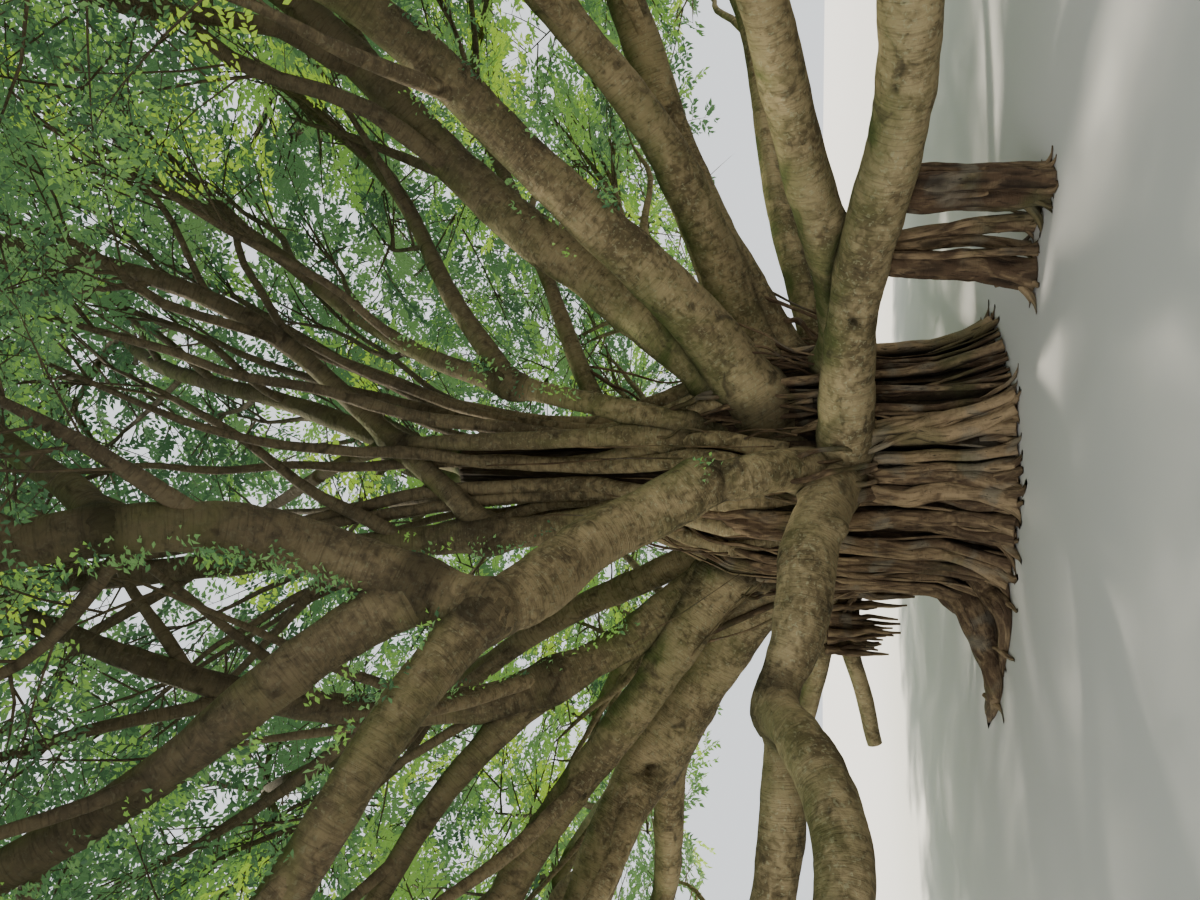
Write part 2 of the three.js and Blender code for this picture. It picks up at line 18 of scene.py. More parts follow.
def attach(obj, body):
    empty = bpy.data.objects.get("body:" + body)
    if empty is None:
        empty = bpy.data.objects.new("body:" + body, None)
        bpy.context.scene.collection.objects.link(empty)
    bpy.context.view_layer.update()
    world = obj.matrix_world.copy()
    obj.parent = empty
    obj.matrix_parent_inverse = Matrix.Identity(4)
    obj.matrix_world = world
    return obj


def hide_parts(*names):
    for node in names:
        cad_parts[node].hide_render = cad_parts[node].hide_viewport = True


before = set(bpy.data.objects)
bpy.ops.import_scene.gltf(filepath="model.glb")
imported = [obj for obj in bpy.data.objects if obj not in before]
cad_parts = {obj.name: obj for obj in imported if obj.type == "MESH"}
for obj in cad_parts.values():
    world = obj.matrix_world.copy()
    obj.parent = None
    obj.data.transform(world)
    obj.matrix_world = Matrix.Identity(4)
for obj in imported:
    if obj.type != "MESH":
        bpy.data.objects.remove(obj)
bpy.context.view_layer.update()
log = logging.getLogger("banyan")

Array = np.ndarray
Material = bpy.types.Material
UP = np.array([0.0, 0.0, 1.0])
GOLDEN_ANGLE = math.pi * (3 - math.sqrt(5))
PATH_STEPS = 24
# Where the photo was taken from: standing eye height before the trunk
EYE = np.array([0.17, -8.5, 1.6])
# The way the first column of a bough's rings faces: along no bough
ASKEW = np.array([0.21, 0.34, 0.91])


# Numbers


def chance(*keys: int) -> float:
    """A number from 0 to 1 that depends only on the whole numbers it is given.

    Args:
        keys: whole numbers from 0 up.

    Returns:
        The keys mixed by repeated multiply and shift, as a fraction of the largest mix.
    """
    mixed = 2166136261
    for key in keys:
        mixed = ((mixed ^ key) * 16777619) & 0xFFFFFFFF
        mixed = ((mixed ^ (mixed >> 13)) * 1540483477) & 0xFFFFFFFF
        mixed ^= mixed >> 15
    return mixed / 4294967296


def unit(vectors: Array) -> Array:
    """Each vector divided by its own length."""
    return vectors / np.maximum(np.linalg.norm(vectors, axis=-1, keepdims=True), 1e-9)


def direction(bearing: Array | float, rise: Array | float) -> Array:
    """Unit vectors from bearings counter-clockwise from +X and rises above level.

    Args:
        bearing: degrees, 90 for the back and 270 for the front.
        rise: degrees.

    Returns:
        (cos rise cos bearing, cos rise sin bearing, sin rise), along a last axis of 3.
    """
    turn, climb = np.broadcast_arrays(np.radians(bearing), np.radians(rise))
    level = np.cos(climb)
    return np.stack([level * np.cos(turn), level * np.sin(turn), np.sin(climb)], axis=-1)


def eased(values: Array, low: float, high: float) -> Array:
    """0 below low, 1 above high, and 3t^2 - 2t^3 between them."""
    part = np.clip((values - low) / (high - low), 0, 1)
    return part * part * (3 - 2 * part)


def turned(vectors: Array, axis: Array, angle: Array | float) -> Array:
    """Vectors turned about unit axes: v cos a + (axis x v) sin a + axis (axis . v)(1 - cos a).

    Args:
        vectors: (..., 3).
        axis: (..., 3), unit.
        angle: radians, one for all or one for each.

    Returns:
        The turned vectors, (..., 3).
    """
    angle = np.asarray(angle)[..., None]
    along = (vectors * axis).sum(-1, keepdims=True)
    cosine = np.cos(angle)
    return vectors * cosine + np.cross(axis, vectors) * np.sin(angle) + axis * along * (1 - cosine)


def lattice(points: Array, seed: int) -> Array:
    """Value noise from -1 to 1: a mixed number at each corner of a unit grid, eased between corners.

    Args:
        points: (..., 3).
        seed: which noise.

    Returns:
        One number a point.
    """
    cell = np.floor(points).astype(np.int64)
    part = points - cell
    ease = part * part * (3 - 2 * part)
    total = np.zeros(points.shape[:-1])
    for corner in product((0, 1), repeat=3):
        at = cell + np.array(corner)
        key = (at[..., 0] * 73856093) ^ (at[..., 1] * 19349663) ^ (at[..., 2] * 83492791)
        key = key ^ (seed * 2654435761)
        key = ((key ^ (key >> 13)) * 1274126177) & 0xFFFFFFFF
        key = key ^ (key >> 16)
        weight = np.where(np.array(corner) == 1, ease, 1 - ease).prod(-1)
        total += ((key & 0xFFFF) / 32767.5 - 1) * weight
    return total


def rough(points: Array, size: float, seed: int, octaves: int = 3) -> Array:
    """Layers of value noise, each half as wide and half as strong as the last.

    Args:
        points: (..., 3), metres.
        size: width of the largest lumps, metres.
        seed: which noise.
        octaves: how many layers.

    Returns:
        One number a point, mostly from -1 to 1.
    """
    total = np.zeros(points.shape[:-1])
    for octave in range(octaves):
        total += lattice(points * (2**octave / size), seed + octave) / 2**octave
    return total


def seeded_line(run: Array, offset: float) -> Array:
    """Places in the noise for one winding thing: its run, beside an offset of its own, (n, 3)."""
    return np.stack([run, np.full_like(run, offset), np.zeros_like(run)], -1)


def along_path(path: Array, part: float) -> Array:
    """The point at a fraction of the steps of a path, (n, 3): straight between its points."""
    place = part * (len(path) - 1)
    i = min(int(place), len(path) - 2)
    return path[i] + (path[i + 1] - path[i]) * (place - i)


def way_at(path: Array, part: float, span: float) -> Array:
    """Where a path heads at a fraction of its steps, from span before it to span past it."""
    return unit(along_path(path, min(1, part + span)) - along_path(path, max(0, part - span)))


def run_along(path: Array) -> Array:
    """How far along a path each of its points lies: the sum of the steps before it."""
    return np.concatenate([[0], np.cumsum(np.linalg.norm(np.diff(path, axis=0), axis=1))])


def refined(path: Array, parts: Array) -> Array:
    """Points on the smooth curve through a path, by the Catmull-Rom cubic of each four points.

    Args:
        path: (n, 3).
        parts: fractions of the path's steps.

    Returns:
        (len(parts), 3).
    """
    before = 2 * path[0] - path[1]
    after = 2 * path[-1] - path[-2]
    knots = np.vstack([before, path, after])
    place = np.clip(parts, 0, 1) * (len(path) - 1)
    i = np.minimum(place.astype(int), len(path) - 2)
    t = (place - i)[:, None]
    a, b, c, d = knots[i], knots[i + 1], knots[i + 2], knots[i + 3]
    return 0.5 * (2 * b + (c - a) * t + (2 * a - 5 * b + 4 * c - d) * t**2 + (3 * b - a - 3 * c + d) * t**3)


def carried_sides(path: Array, first: Array) -> tuple[Array, Array]:
    """Two unit vectors square to a path at each point, carried along it so that they never twist.

    Args:
        path: (n, 3).
        first: the way the first vector faces at the start.

    Returns:
        The side vectors and the vectors square to them, both (n, 3).
    """
    ways = unit(np.gradient(path, axis=0))
    sides = np.empty_like(path)
    side = first
    for i, way in enumerate(ways):
        side = side - way * side.dot(way)
        side = side / np.linalg.norm(side)
        sides[i] = side
    return sides, np.cross(ways, sides)


def turns_round(count: int) -> Array:
    """Angles spaced evenly round a full turn, from 0, in radians."""
    return np.arange(count) * 2 * math.pi / count


def ring_ways(side: Array, square: Array, columns: int) -> Array:
    """The ways of a ring's columns at each point of a path, (n, columns, 3): cos a side + sin a square."""
    turn = turns_round(columns)[:, None]
    return np.cos(turn) * side[:, None] + np.sin(turn) * square[:, None]


def ring_faces(rings: int, columns: int) -> tuple[Array, Array, Array]:
    """The four-sided faces between rings of so many points each, and each face's ring and column."""
    i, j = np.divmod(np.arange((rings - 1) * columns), columns)
    here, above, right = i * columns, (i + 1) * columns, (j + 1) % columns
    return np.stack([here + j, here + right, above + right, above + j], 1), i, j


# Meshes


@dataclass
class Sheaf:
    """A mesh in the making: points, faces, places on the bark and named numbers, a chunk at a time."""

    points: list = field(default_factory=list)
    corners: list = field(default_factory=list)
    sizes: list = field(default_factory=list)
    bark: list = field(default_factory=list)
    slots: list = field(default_factory=list)
    qualities: dict = field(default_factory=dict)
    count: int = 0

    def add(
        self,
        points: Array,
        faces: list[Array],
        bark: list[Array] | None = None,
        slots: Array | int = 0,
        **qualities: Array | float,
    ) -> None:
        """Adds points and the faces between them.

        Args:
            points: (n, 3), metres.
            faces: arrays (f, corners) of point numbers within these points.
            bark: for each array of faces, (f, corners, 2) places round and along the bark.
            slots: the material slot of each face, or of all.
            qualities: named numbers, one a point or one for all.
        """
        for i, face in enumerate(faces):
            self.corners.append((face + self.count).ravel())
            self.sizes.append(np.full(len(face), face.shape[1]))
            place = bark[i] if bark else np.zeros((*face.shape, 2))
            self.bark.append(place.reshape(-1, 2))
            self.slots.append(np.broadcast_to(slots, len(face)) if np.ndim(slots) == 0 else slots)
        for name, value in qualities.items():
            self.qualities.setdefault(name, []).append(np.broadcast_to(value, len(points)))
        self.points.append(points)
        self.count += len(points)

    def add_grid(self, grid: Array, girth: float, run: Array, **qualities: Array | float) -> None:
        """Adds a closed tube from a grid of points, rings by columns, with a pole at each end.

        Args:
            grid: (rings, columns, 3), columns running round from the side vector to its square.
            girth: how wide the bark is when unrolled, metres.
            run: how far along the bark each ring lies, metres.
            qualities: named numbers, (rings, columns) or one for all.
        """
        rings, columns = grid.shape[:2]
        quads, i, j = ring_faces(rings, columns)
        u = np.stack([j, j + 1, j + 1, j], 1) * (girth / columns)
        v = np.stack([run[i], run[i], run[i + 1], run[i + 1]], 1)
        first, last = rings * columns, rings * columns + 1
        j = np.arange(columns)
        right = (j + 1) % columns
        foot = np.stack([np.full(columns, first), right, j], 1)
        head = np.stack([np.full(columns, last), (rings - 1) * columns + j, (rings - 1) * columns + right], 1)
        round_foot = np.stack([j + 0.5, j + 1, j], 1) * (girth / columns)
        round_head = np.stack([j + 0.5, j, j + 1], 1) * (girth / columns)
        poles = np.stack([grid[0].mean(0), grid[-1].mean(0)])
        values = {}
        for name, value in qualities.items():
            spread = np.broadcast_to(value, (rings, columns))
            values[name] = np.concatenate([spread.ravel(), [spread[0].mean(), spread[-1].mean()]])
        points = np.concatenate([grid.reshape(-1, 3), poles])
        round_ends = np.concatenate([round_foot, round_head])
        run_ends = np.repeat([run[0], run[-1]], columns * 3).reshape(-1, 3)
        bark = [np.stack([u, v], -1), np.stack([round_ends, run_ends], -1)]
        self.add(points, [quads, np.concatenate([foot, head])], bark, **values)

    def add_rods(self, paths: Array, radii: Array, sides: int = 3, **qualities: float) -> None:
        """Adds many thin rods at once: rings square to each rod's chord, drawn in to a point at the end.

        Args:
            paths: (rods, points, 3).
            radii: (rods, points - 1), metres.
            sides: how many sides a rod has.
            qualities: named numbers for all of them.
        """
        rods, steps = radii.shape
        chord = unit(paths[:, -1] - paths[:, 0])
        lean = np.where(np.abs(chord[:, 2:]) > 0.9, np.array([1.0, 0, 0]), UP)
        side = unit(np.cross(chord, lean))
        square = np.cross(chord, side)
        ring = ring_ways(side, square, sides)
        rings = paths[:, :-1, None] + radii[:, :, None, None] * ring[:, None]
        points = np.concatenate([rings.reshape(rods, -1, 3), paths[:, -1:]], 1)
        quads, _, _ = ring_faces(steps, sides)
        j = np.arange(sides)
        last = (steps - 1) * sides
        tips = np.stack([np.full(sides, steps * sides), last + j, last + (j + 1) % sides], 1)
        first = (np.arange(rods) * (steps * sides + 1))[:, None, None]
        faces = [(block + first).reshape(-1, block.shape[1]) for block in (quads, tips) if len(block)]
        self.add(points.reshape(-1, 3), faces, **qualities)

    def finish(
        self, name: str, materials: list[Material], slot: str, nodes: list[str], smooth: bool = True
    ) -> None:
        """Makes the mesh a piece of the tree, with its finish and the solids it stands for.

        Args:
            name: the piece's plain name.
            materials: one for each slot of the faces.
            slot: not used.
            nodes: the solids that the piece replaces; none for trim.
            smooth: whether its faces are shaded as one surface.
        """
        points = np.concatenate(self.points)
        sizes = np.concatenate(self.sizes)
        corners = np.concatenate(self.corners)
        mesh = bpy.data.meshes.new(name)
        mesh.vertices.add(len(points))
        mesh.vertices.foreach_set("co", points.astype(np.float32).ravel())
        mesh.loops.add(len(corners))
        mesh.loops.foreach_set("vertex_index", corners.astype(np.int32))
        mesh.polygons.add(len(sizes))
        mesh.polygons.foreach_set("loop_start", np.concatenate([[0], np.cumsum(sizes)[:-1]]).astype(np.int32))
        mesh.polygons.foreach_set("material_index", np.concatenate(self.slots).astype(np.int32))
        mesh.polygons.foreach_set("use_smooth", np.full(len(sizes), smooth))
        unrolled = mesh.uv_layers.new(name="bark")
        unrolled.data.foreach_set("uv", np.concatenate(self.bark).astype(np.float32).ravel())
        for quality, chunks in self.qualities.items():
            layer = mesh.attributes.new(quality, "FLOAT", "POINT")
            layer.data.foreach_set("value", np.concatenate(chunks).astype(np.float32))
        mesh.update(calc_edges=True)
        mesh.validate()
        for material in materials:
            mesh.materials.append(material)
        piece = linked(name, mesh)
        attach(piece, "root")
        if nodes:
            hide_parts(*nodes)
        log.info("%s: %d faces", name, len(mesh.polygons))


def linked(name: str, data: bpy.types.ID) -> bpy.types.Object:
    """A new object at the scene's origin, which shows a mesh, lamp or camera."""
    made = bpy.data.objects.new(name, data)
    bpy.context.scene.collection.objects.link(made)
    return made


# Finishes


class Socket:
    """An output of a node, on which arithmetic adds Math nodes."""

    def __init__(self, paint: "Paint", socket: bpy.types.NodeSocket) -> None:
        """Wraps one output of the paint's tree."""
        self.paint = paint
        self.socket = socket

    def _joined(self, operation: str, first: "Socket | float", second: "Socket | float") -> "Socket":
        """One Math node on two values."""
        return self.paint.node("ShaderNodeMath", {"operation": operation}, {0: first, 1: second}, "Value")

    def __add__(self, other: "Socket | float") -> "Socket":
        """The sum."""
        return self._joined("ADD", self, other)

    def __radd__(self, other: float) -> "Socket":
        """The sum, from the right."""
        return self._joined("ADD", other, self)

    def __sub__(self, other: "Socket | float") -> "Socket":
        """The difference."""
        return self._joined("SUBTRACT", self, other)

    def __rsub__(self, other: float) -> "Socket":
        """The difference, from the right."""
        return self._joined("SUBTRACT", other, self)

    def __mul__(self, other: "Socket | float") -> "Socket":
        """The product."""
        return self._joined("MULTIPLY", self, other)

    def __rmul__(self, other: float) -> "Socket":
        """The product, from the right."""
        return self._joined("MULTIPLY", other, self)

    def eased(self, low: float, high: float) -> "Socket":
        """0 at low and 1 at high, smooth between them."""
        inputs = {"Value": self, "From Min": low, "From Max": high}
        return self.paint.node("ShaderNodeMapRange", {"interpolation_type": "SMOOTHSTEP"}, inputs, "Result")


class Paint:
    """A material's tree of nodes round one Principled shader."""

    def __init__(self, name: str) -> None:
        """Makes an empty material with the finish's plain name."""
        self.material = bpy.data.materials.new(name)
        self.material.use_nodes = True
        self.tree = self.material.node_tree
        self.tree.nodes.clear()

    def node(self, kind: str, settings: dict, inputs: dict, output: str | int) -> Socket:
        """Adds one node.

        Args:
            kind: the node's type.
            settings: its properties, such as a Math node's operation, set first.
            inputs: values or sockets, by input name or number.
            output: the output that is wanted.

        Returns:
            That output.
        """
        node = self.tree.nodes.new(kind)
        for key, value in settings.items():
            setattr(node, key, value)
        for key, value in inputs.items():
            if isinstance(value, Socket):
                self.tree.links.new(value.socket, node.inputs[key])
            else:
                node.inputs[key].default_value = value
        return Socket(self, node.outputs[output])

    def place(self) -> Socket:
        """Where a point lies on the tree, metres."""
        return self.node("ShaderNodeTexCoord", {}, {}, "Object")

    def bark_place(self, across: float, along: float) -> Socket:
        """Where a point lies on the unrolled bark, scaled round and along the limb."""
        flat = self.node("ShaderNodeUVMap", {"uv_map": "bark"}, {}, "UV")
        return self.node("ShaderNodeMapping", {}, {"Vector": flat, "Scale": (across, along, 1.0)}, "Vector")

    def quality(self, name: str) -> Socket:
        """A number kept at the mesh's points."""
        return self.node("ShaderNodeAttribute", {"attribute_name": name}, {}, "Fac")

    def noise(self, place: Socket, scale: float, detail: float = 4, bend: float = 0) -> Socket:
        """Cloudy noise from 0 to 1."""
        inputs = {"Vector": place, "Scale": scale, "Detail": detail, "Distortion": bend}
        return self.node("ShaderNodeTexNoise", {}, inputs, "Fac")

    def blended(self, share: Socket | float, low: "Socket | tuple", high: "Socket | tuple") -> Socket:
        """One colour, or another where share is 1: low (1 - share) + high share."""
        low = low if isinstance(low, Socket) else (*low, 1.0)
        high = high if isinstance(high, Socket) else (*high, 1.0)
        return self.node("ShaderNodeMix", {"data_type": "RGBA"}, {0: share, 6: low, 7: high}, 2)

    def shaded(self, share: Socket, colour: Socket) -> Socket:
        """A colour darkened: multiplied by a grey that is so light, from 0 to 1."""
        settings = {"data_type": "RGBA", "blend_type": "MULTIPLY"}
        grey = self.node("ShaderNodeCombineColor", {}, {0: share, 1: share, 2: share}, "Color")
        return self.node("ShaderNodeMix", settings, {0: 1.0, 6: colour, 7: grey}, 2)

    def bumped(self, height: Socket, strength: float, distance: float) -> Socket:
        """The surface's normal under small relief."""
        inputs = {"Height": height, "Strength": strength, "Distance": distance}
        return self.node("ShaderNodeBump", {}, inputs, "Normal")

    def finish(self, **inputs: "Socket | float | tuple") -> Material:
        """Puts the Principled shader on the surface.

        Args:
            inputs: the shader's sockets, with underscores for spaces.

        Returns:
            The finished material.
        """
        named = {key.replace("_", " "): value for key, value in inputs.items()}
        shader = self.node("ShaderNodeBsdfPrincipled", {}, named, "BSDF")
        end = self.tree.nodes.new("ShaderNodeOutputMaterial")
        self.tree.links.new(shader.socket, end.inputs["Surface"])
        return self.material


@dataclass(frozen=True)
class LimbBark:
    """The grey-tan bark of the boughs: mottled, lichened, stained, creased across, mossy above, and darkened
    by painted shade.
    """

    name: str = "limb bark"
    pale: tuple = (0.36, 0.28, 0.15)
    dull: tuple = (0.12, 0.09, 0.046)
    lichen: tuple = (0.42, 0.41, 0.25)
    stain: tuple = (0.03, 0.023, 0.014)
    olive: tuple = (0.125, 0.135, 0.045)
    moss: tuple = (0.055, 0.08, 0.018)
    # Painted shade: the dark, cool colour that the higher limbs are faded towards
    high: tuple = (0.07, 0.057, 0.042)

    def material(self) -> Material:
        """Pale bark mottled dull, with lichen, stains and moss; painted shade in creases and recesses, and
        more painted shade the higher it is, darker and cooler.

        Each layer is laid over the last where its own noise, eased between two levels, is high.

        Returns:
            The finished material.
        """
        paint = Paint(self.name)
        place = paint.place()
        mottle = paint.noise(place, 1.9, 7, 0.8)
        fine = paint.noise(place, 17, 6, 0.6)
        colour = paint.blended((mottle * 0.55 + fine * 0.45).eased(0.4, 0.62), self.pale, self.dull)
        colour = paint.blended(paint.noise(place, 34, 5, 0.5).eased(0.56, 0.66) * 0.45, colour, self.lichen)
        height = paint.node("ShaderNodeSeparateXYZ", {}, {"Vector": place}, "Z")
        # Painted shade: the higher the limb, the darker and cooler, as if seen against the light
        colour = paint.blended(height.eased(2.0, 5.6) * 0.75, colour, self.high)
        shade = paint.quality("moss") - paint.noise(place, 2.9, 7, 1.0) * 1.1
        colour = paint.blended(shade.eased(-0.4, 0.4) * 0.7, colour, self.olive)
        colour = paint.blended(shade.eased(0.12, 0.4) * 0.75, colour, self.moss)
        blotch = paint.noise(place, 5.2, 8, 0.9)
        colour = paint.blended(blotch.eased(0.57, 0.74) * 0.7, colour, self.stain)
        spots = {"Vector": paint.bark_place(14.0, 34.0), "Scale": 1.0}
        pores = 1 - paint.node("ShaderNodeTexVoronoi", {"feature": "F1"}, spots, "Distance").eased(0.06, 0.22)
        colour = paint.blended(pores * fine.eased(0.48, 0.58) * 0.55, colour, self.stain)
        creases = paint.noise(paint.bark_place(3.2, 42.0), 1.0, 6, 1.2)
        # Painted shade: the bark darkened along its creases
        colour = paint.shaded(1 - (1 - creases.eased(0.32, 0.5)) * 0.28, colour)
        # Painted shade: the limbs darkened in knot eyes, in crotches and underneath
        colour = paint.shaded(1 - 0.85 * paint.quality("hollow"), colour)
        relief = creases * 0.5 + fine * 0.8 + blotch * 0.6
        normal = paint.bumped(relief, 0.9, 0.024)
        return paint.finish(Base_Color=colour, Roughness=0.9, Normal=normal, Specular_IOR_Level=0.2)


@dataclass(frozen=True)
class RootBark:
    """The bark of the trunk's grown-together roots: mottled along, each a tone of its own, some darkened as
    painted shade, with painted shade between them.
    """

    name: str = "root bark"
    pale: tuple = (0.32, 0.225, 0.125)
    brown: tuple = (0.08, 0.05, 0.029)
    grey: tuple = (0.19, 0.17, 0.125)
    green: tuple = (0.075, 0.08, 0.03)
    # Painted shade: near-black for cracks, for gaps between roots and for their shaded sides
    crevice_shade: tuple = (0.01, 0.008, 0.007)

    def material(self) -> Material:
        """Brown bark with pale mottling, grey and green patches, cracks along it, and painted shade in the
        cracks, creases and gaps.

        Each layer is laid over the last where its own noise, eased between two levels, is high.

        Returns:
            The finished material.
        """
        paint = Paint(self.name)
        place = paint.place()
        mottle = paint.noise(paint.bark_place(16.0, 6.0), 1.0, 7, 0.8)
        tone = paint.quality("tone")
        # Each root's tone, darker for the roots painted in shade, shifts it between brown and pale
        colour = paint.blended((mottle + (tone - 0.5) * 0.42).eased(0.32, 0.78), self.brown, self.pale)
        colour = paint.blended(paint.noise(place, 3.3, 6, 0.6).eased(0.52, 0.66) * 0.6, colour, self.grey)
        colour = paint.blended(paint.noise(place, 1.3, 5, 0.4).eased(0.54, 0.66) * 0.55, colour, self.green)
        crack = paint.noise(paint.bark_place(34.0, 4.2), 1.0, 6, 2.2)
        # Painted shade: near-black along the cracks of each root
        colour = paint.blended((1 - crack.eased(0.3, 0.43)) * 0.7, colour, self.crevice_shade)
        creases = paint.noise(paint.bark_place(9.0, 40.0), 1.0, 3, 1.5)
        # Painted shade: the bark a little darker along its creases
        colour = paint.shaded(1 - (1 - creases.eased(0.32, 0.5)) * 0.12, colour)
        # Painted shade: near-black between and behind roots, in grooves and underneath
        colour = paint.blended(paint.quality("hollow") * 0.95, colour, self.crevice_shade)
        relief = mottle * 0.7 + crack * 0.6 + creases * 0.35
        normal = paint.bumped(relief, 0.9, 0.022)
        return paint.finish(Base_Color=colour, Roughness=0.93, Normal=normal, Specular_IOR_Level=0.15)


class Tint(Enum):
    """The tints of leaves, from shaded to sunlit, each with how often a spray has it."""

    # Painted light: lit and shaded copies of one leaf green, from SHADE to SUNLIT, each with a glow painted
    # in
    SHADE = ("leaf shade", (0.028, 0.066, 0.028), 0.2)
    DEEP = ("leaf deep", (0.054, 0.118, 0.044), 0.3)
    MIDDLE = ("leaf middle", (0.092, 0.178, 0.058), 0.28)
    LIT = ("leaf lit", (0.14, 0.262, 0.05), 0.15)
    SUNLIT = ("leaf sunlit", (0.27, 0.41, 0.044), 0.07)

    def material(self) -> Material:
        """A plain satin leaf colour, with a painted glow that stands in for the light shining through leaves.
        """
        name, colour, _ = self.value
        glow = tuple(0.8 * part for part in colour)
        return Paint(name).finish(
            Base_Color=(*colour, 1.0),
            Roughness=0.58,
            Specular_IOR_Level=0.3,
            Emission_Color=(*glow, 1.0),
            Emission_Strength=1.05,
        )


# The tree's own sizes, as in the part's source, but front_riser is slimmer by a quarter


@dataclass(frozen=True)
class Limb:
    """A limb: where it starts, and how it heads, turns, climbs and tapers.

    The start is a place inside the trunk, or the limb it forks from and the fraction along it.
    """

    name: str
    start: tuple
    bearing: float
    turn: float
    rise: float
    lift: float
    length: float
    thick: float
    thin: float

    @property
    def forked(self) -> bool:
        """Whether it starts from another limb and not from the trunk."""
        return isinstance(self.start[0], str)

    @property
    def goes_on(self) -> bool:
        """Whether it starts from the last part of another limb, and so goes on from its tip."""
        return self.forked and self.start[1] > TIP_FROM

    @property
    def near(self) -> bool:
        """Whether it is one of the boughs close before the standing place, which get finer bark."""
        return self.name.startswith(("low_", "front_"))


# A limb that starts from past this fraction of another goes on from its tip
TIP_FROM = 0.85
LIMBS = [
    # The low boughs that leave the front of the trunk at waist height
    Limb("low_left_bough", (-0.05, -0.85, 1.34), 249, -55, 5, 13, 2.3, 0.41, 0.39),
    Limb("low_left_near_arm", ("low_left_bough", 0.96), 255, -58, -27, 81, 4.6, 0.39, 0.2),
    Limb("low_left_far_arm", ("low_left_bough", 0.9), 193, 4, 0, 34, 4.9, 0.33, 0.16),
    Limb("low_right_bough", (0.06, -0.85, 1.24), 325, -20, -6, 4, 4.8, 0.39, 0.34),
    Limb("low_right_arm", ("low_right_bough", 0.98), 305, -10, 4, 50, 3, 0.33, 0.19),
    # The bough that climbs forward and divides overhead
    Limb("front_riser", (-0.03, -0.85, 1.38), 285, -50, 31, 43, 1.3, 0.32, 0.34),
    Limb("front_bough", ("front_riser", 0.97), 220, 37, 50, -25, 2.1, 0.4, 0.43),
    Limb("front_left_limb", ("front_bough", 0.97), 219, -15, 22, 18, 4.6, 0.35, 0.19),
    Limb("front_top_limb", ("front_bough", 0.97), 342, -140, 64, -20, 4.4, 0.4, 0.22),
    Limb("front_crown_limb", ("front_top_limb", 0.1), 218, -10, 50, -3, 4.9, 0.34, 0.18),
    Limb("front_top_arm", ("front_top_limb", 0.55), 60, -100, 54, 12, 3, 0.21, 0.12),
    # Boughs to the left, from the highest down
    Limb("left_steep_bough", (-0.75, 0, 2), 181, 145, 56, 4, 5.9, 0.4, 0.2),
    Limb("left_steep_arm", ("left_steep_bough", 0.38), 208, -8, 36, -11, 5.1, 0.25, 0.14),
    Limb("left_twin_bough", (-0.6, 0.3, 2.2), 175, -18, 58, -2, 6.2, 0.29, 0.15),
    Limb("left_mid_bough", (-0.8, -0.1, 2.1), 192, 12, 44, -36, 6.1, 0.43, 0.2),
    Limb("left_big_bough", (-0.8, 0.2, 1.9), 182, 31, 24, 4, 6.6, 0.68, 0.2),
    Limb("left_big_arm", ("left_big_bough", 0.27), 166, -12, 2, 26, 4.7, 0.33, 0.16),
    Limb("left_inner_bough", (-0.85, 0.5, 1.95), 173, -32, 34, -14, 5.9, 0.33, 0.15),
    Limb("left_low_bough", (-0.8, 0.3, 1.4), 170, -18, -2, 27, 6, 0.26, 0.14),
    Limb("left_stub", (-0.8, 0.6, 1.1), 168, 2, 5, -26, 2.1, 0.2, 0.15),
    # The limbs that go up round the top of the trunk
    Limb("centre_left_bough", (-0.25, -0.3, 2.4), 220, 59, 74, -3, 7.5, 0.34, 0.16),
    Limb("centre_right_limb", ("centre_left_bough", 0.27), 4, -80, 39, 28, 6, 0.21, 0.13),
    Limb("centre_top_limb", (0, 0.1, 4.3), 10, 50, 84, -28, 6.3, 0.25, 0.14),
    Limb("s_bough", (0.2, -0.6, 2.2), 107, 37, 105, -40, 4.3, 0.19, 0.12),
    Limb("inner_right_bough", (0.18, -0.65, 1.9), 348, 40, 78, -27, 7, 0.21, 0.12),
    Limb("high_right_limb", ("inner_right_bough", 0.33), 22, 6, 30, 16, 5.2, 0.19, 0.12),
    # Boughs to the right, from the highest down
    Limb("right_steep_bough", (0.24, -0.5, 1.74), 4, -46, 48, -4, 7.6, 0.54, 0.19),
    Limb("right_rising_bough", (0.5, -0.6, 1.9), 346, -67, 31, 21, 7, 0.5, 0.19),
    Limb("thin_right_bough", (0.23, 0.2, 3.3), 11, 19, 36, -34, 7.3, 0.19, 0.11),
    Limb("right_fork_bough", (0.7, -0.2, 1.9), 345, -36, 22, 16, 6.8, 0.45, 0.18),
    Limb("right_spread_bough", (0.85, 0, 1.7), 351, -22, 20, 8, 6.8, 0.45, 0.18),
    Limb("right_level_bough", (0.8, 0.2, 1.4), 2, 34, 5, 19, 7, 0.27, 0.15),
    Limb("right_near_bough", (0.75, -0.35, 1.3), 311, -18, -4, 38, 5.8, 0.42, 0.2),
    # Boughs at the back
    Limb("back_right_bough", (0.6, 0.6, 1.85), 58, -8, 28, 0, 5.7, 0.42, 0.18),
    Limb("back_bough", (0.1, 0.8, 1.9), 94, -8, 24, 6, 6, 0.44, 0.18),
    Limb("back_left_bough", (-0.5, 0.7, 1.95), 124, 8, 27, 2, 5.9, 0.4, 0.18),
    Limb("back_high_bough", (-0.1, 0.5, 2.5), 100, -20, 62, -14, 5.6, 0.32, 0.16),
]
# The limbs from whose tips others go on draw in by this share over this length
FORKED_TIPS = {limb.start[0] for limb in LIMBS if limb.goes_on}
FORKED_TIP_TAPER = 0.3
FORKED_TIP_LENGTH = 0.42
# A limb weaves by this many degrees, in this many waves
SWING = 7
WAVES = 1.5
# A limb's start is swollen by this share, less where it goes on from a tip, and dies out over this length
COLLAR_SWELL = 0.3
TIP_COLLAR_SWELL = 0.06
COLLAR_LENGTH = 0.35
# How far apart the solids' rings stand
RING_SPACING = 1.35


@dataclass(frozen=True)
class Mass:
    """A mass of foliage: the limb whose tip carries it, and its middle."""

    name: str
    carrier: str
    centre: tuple


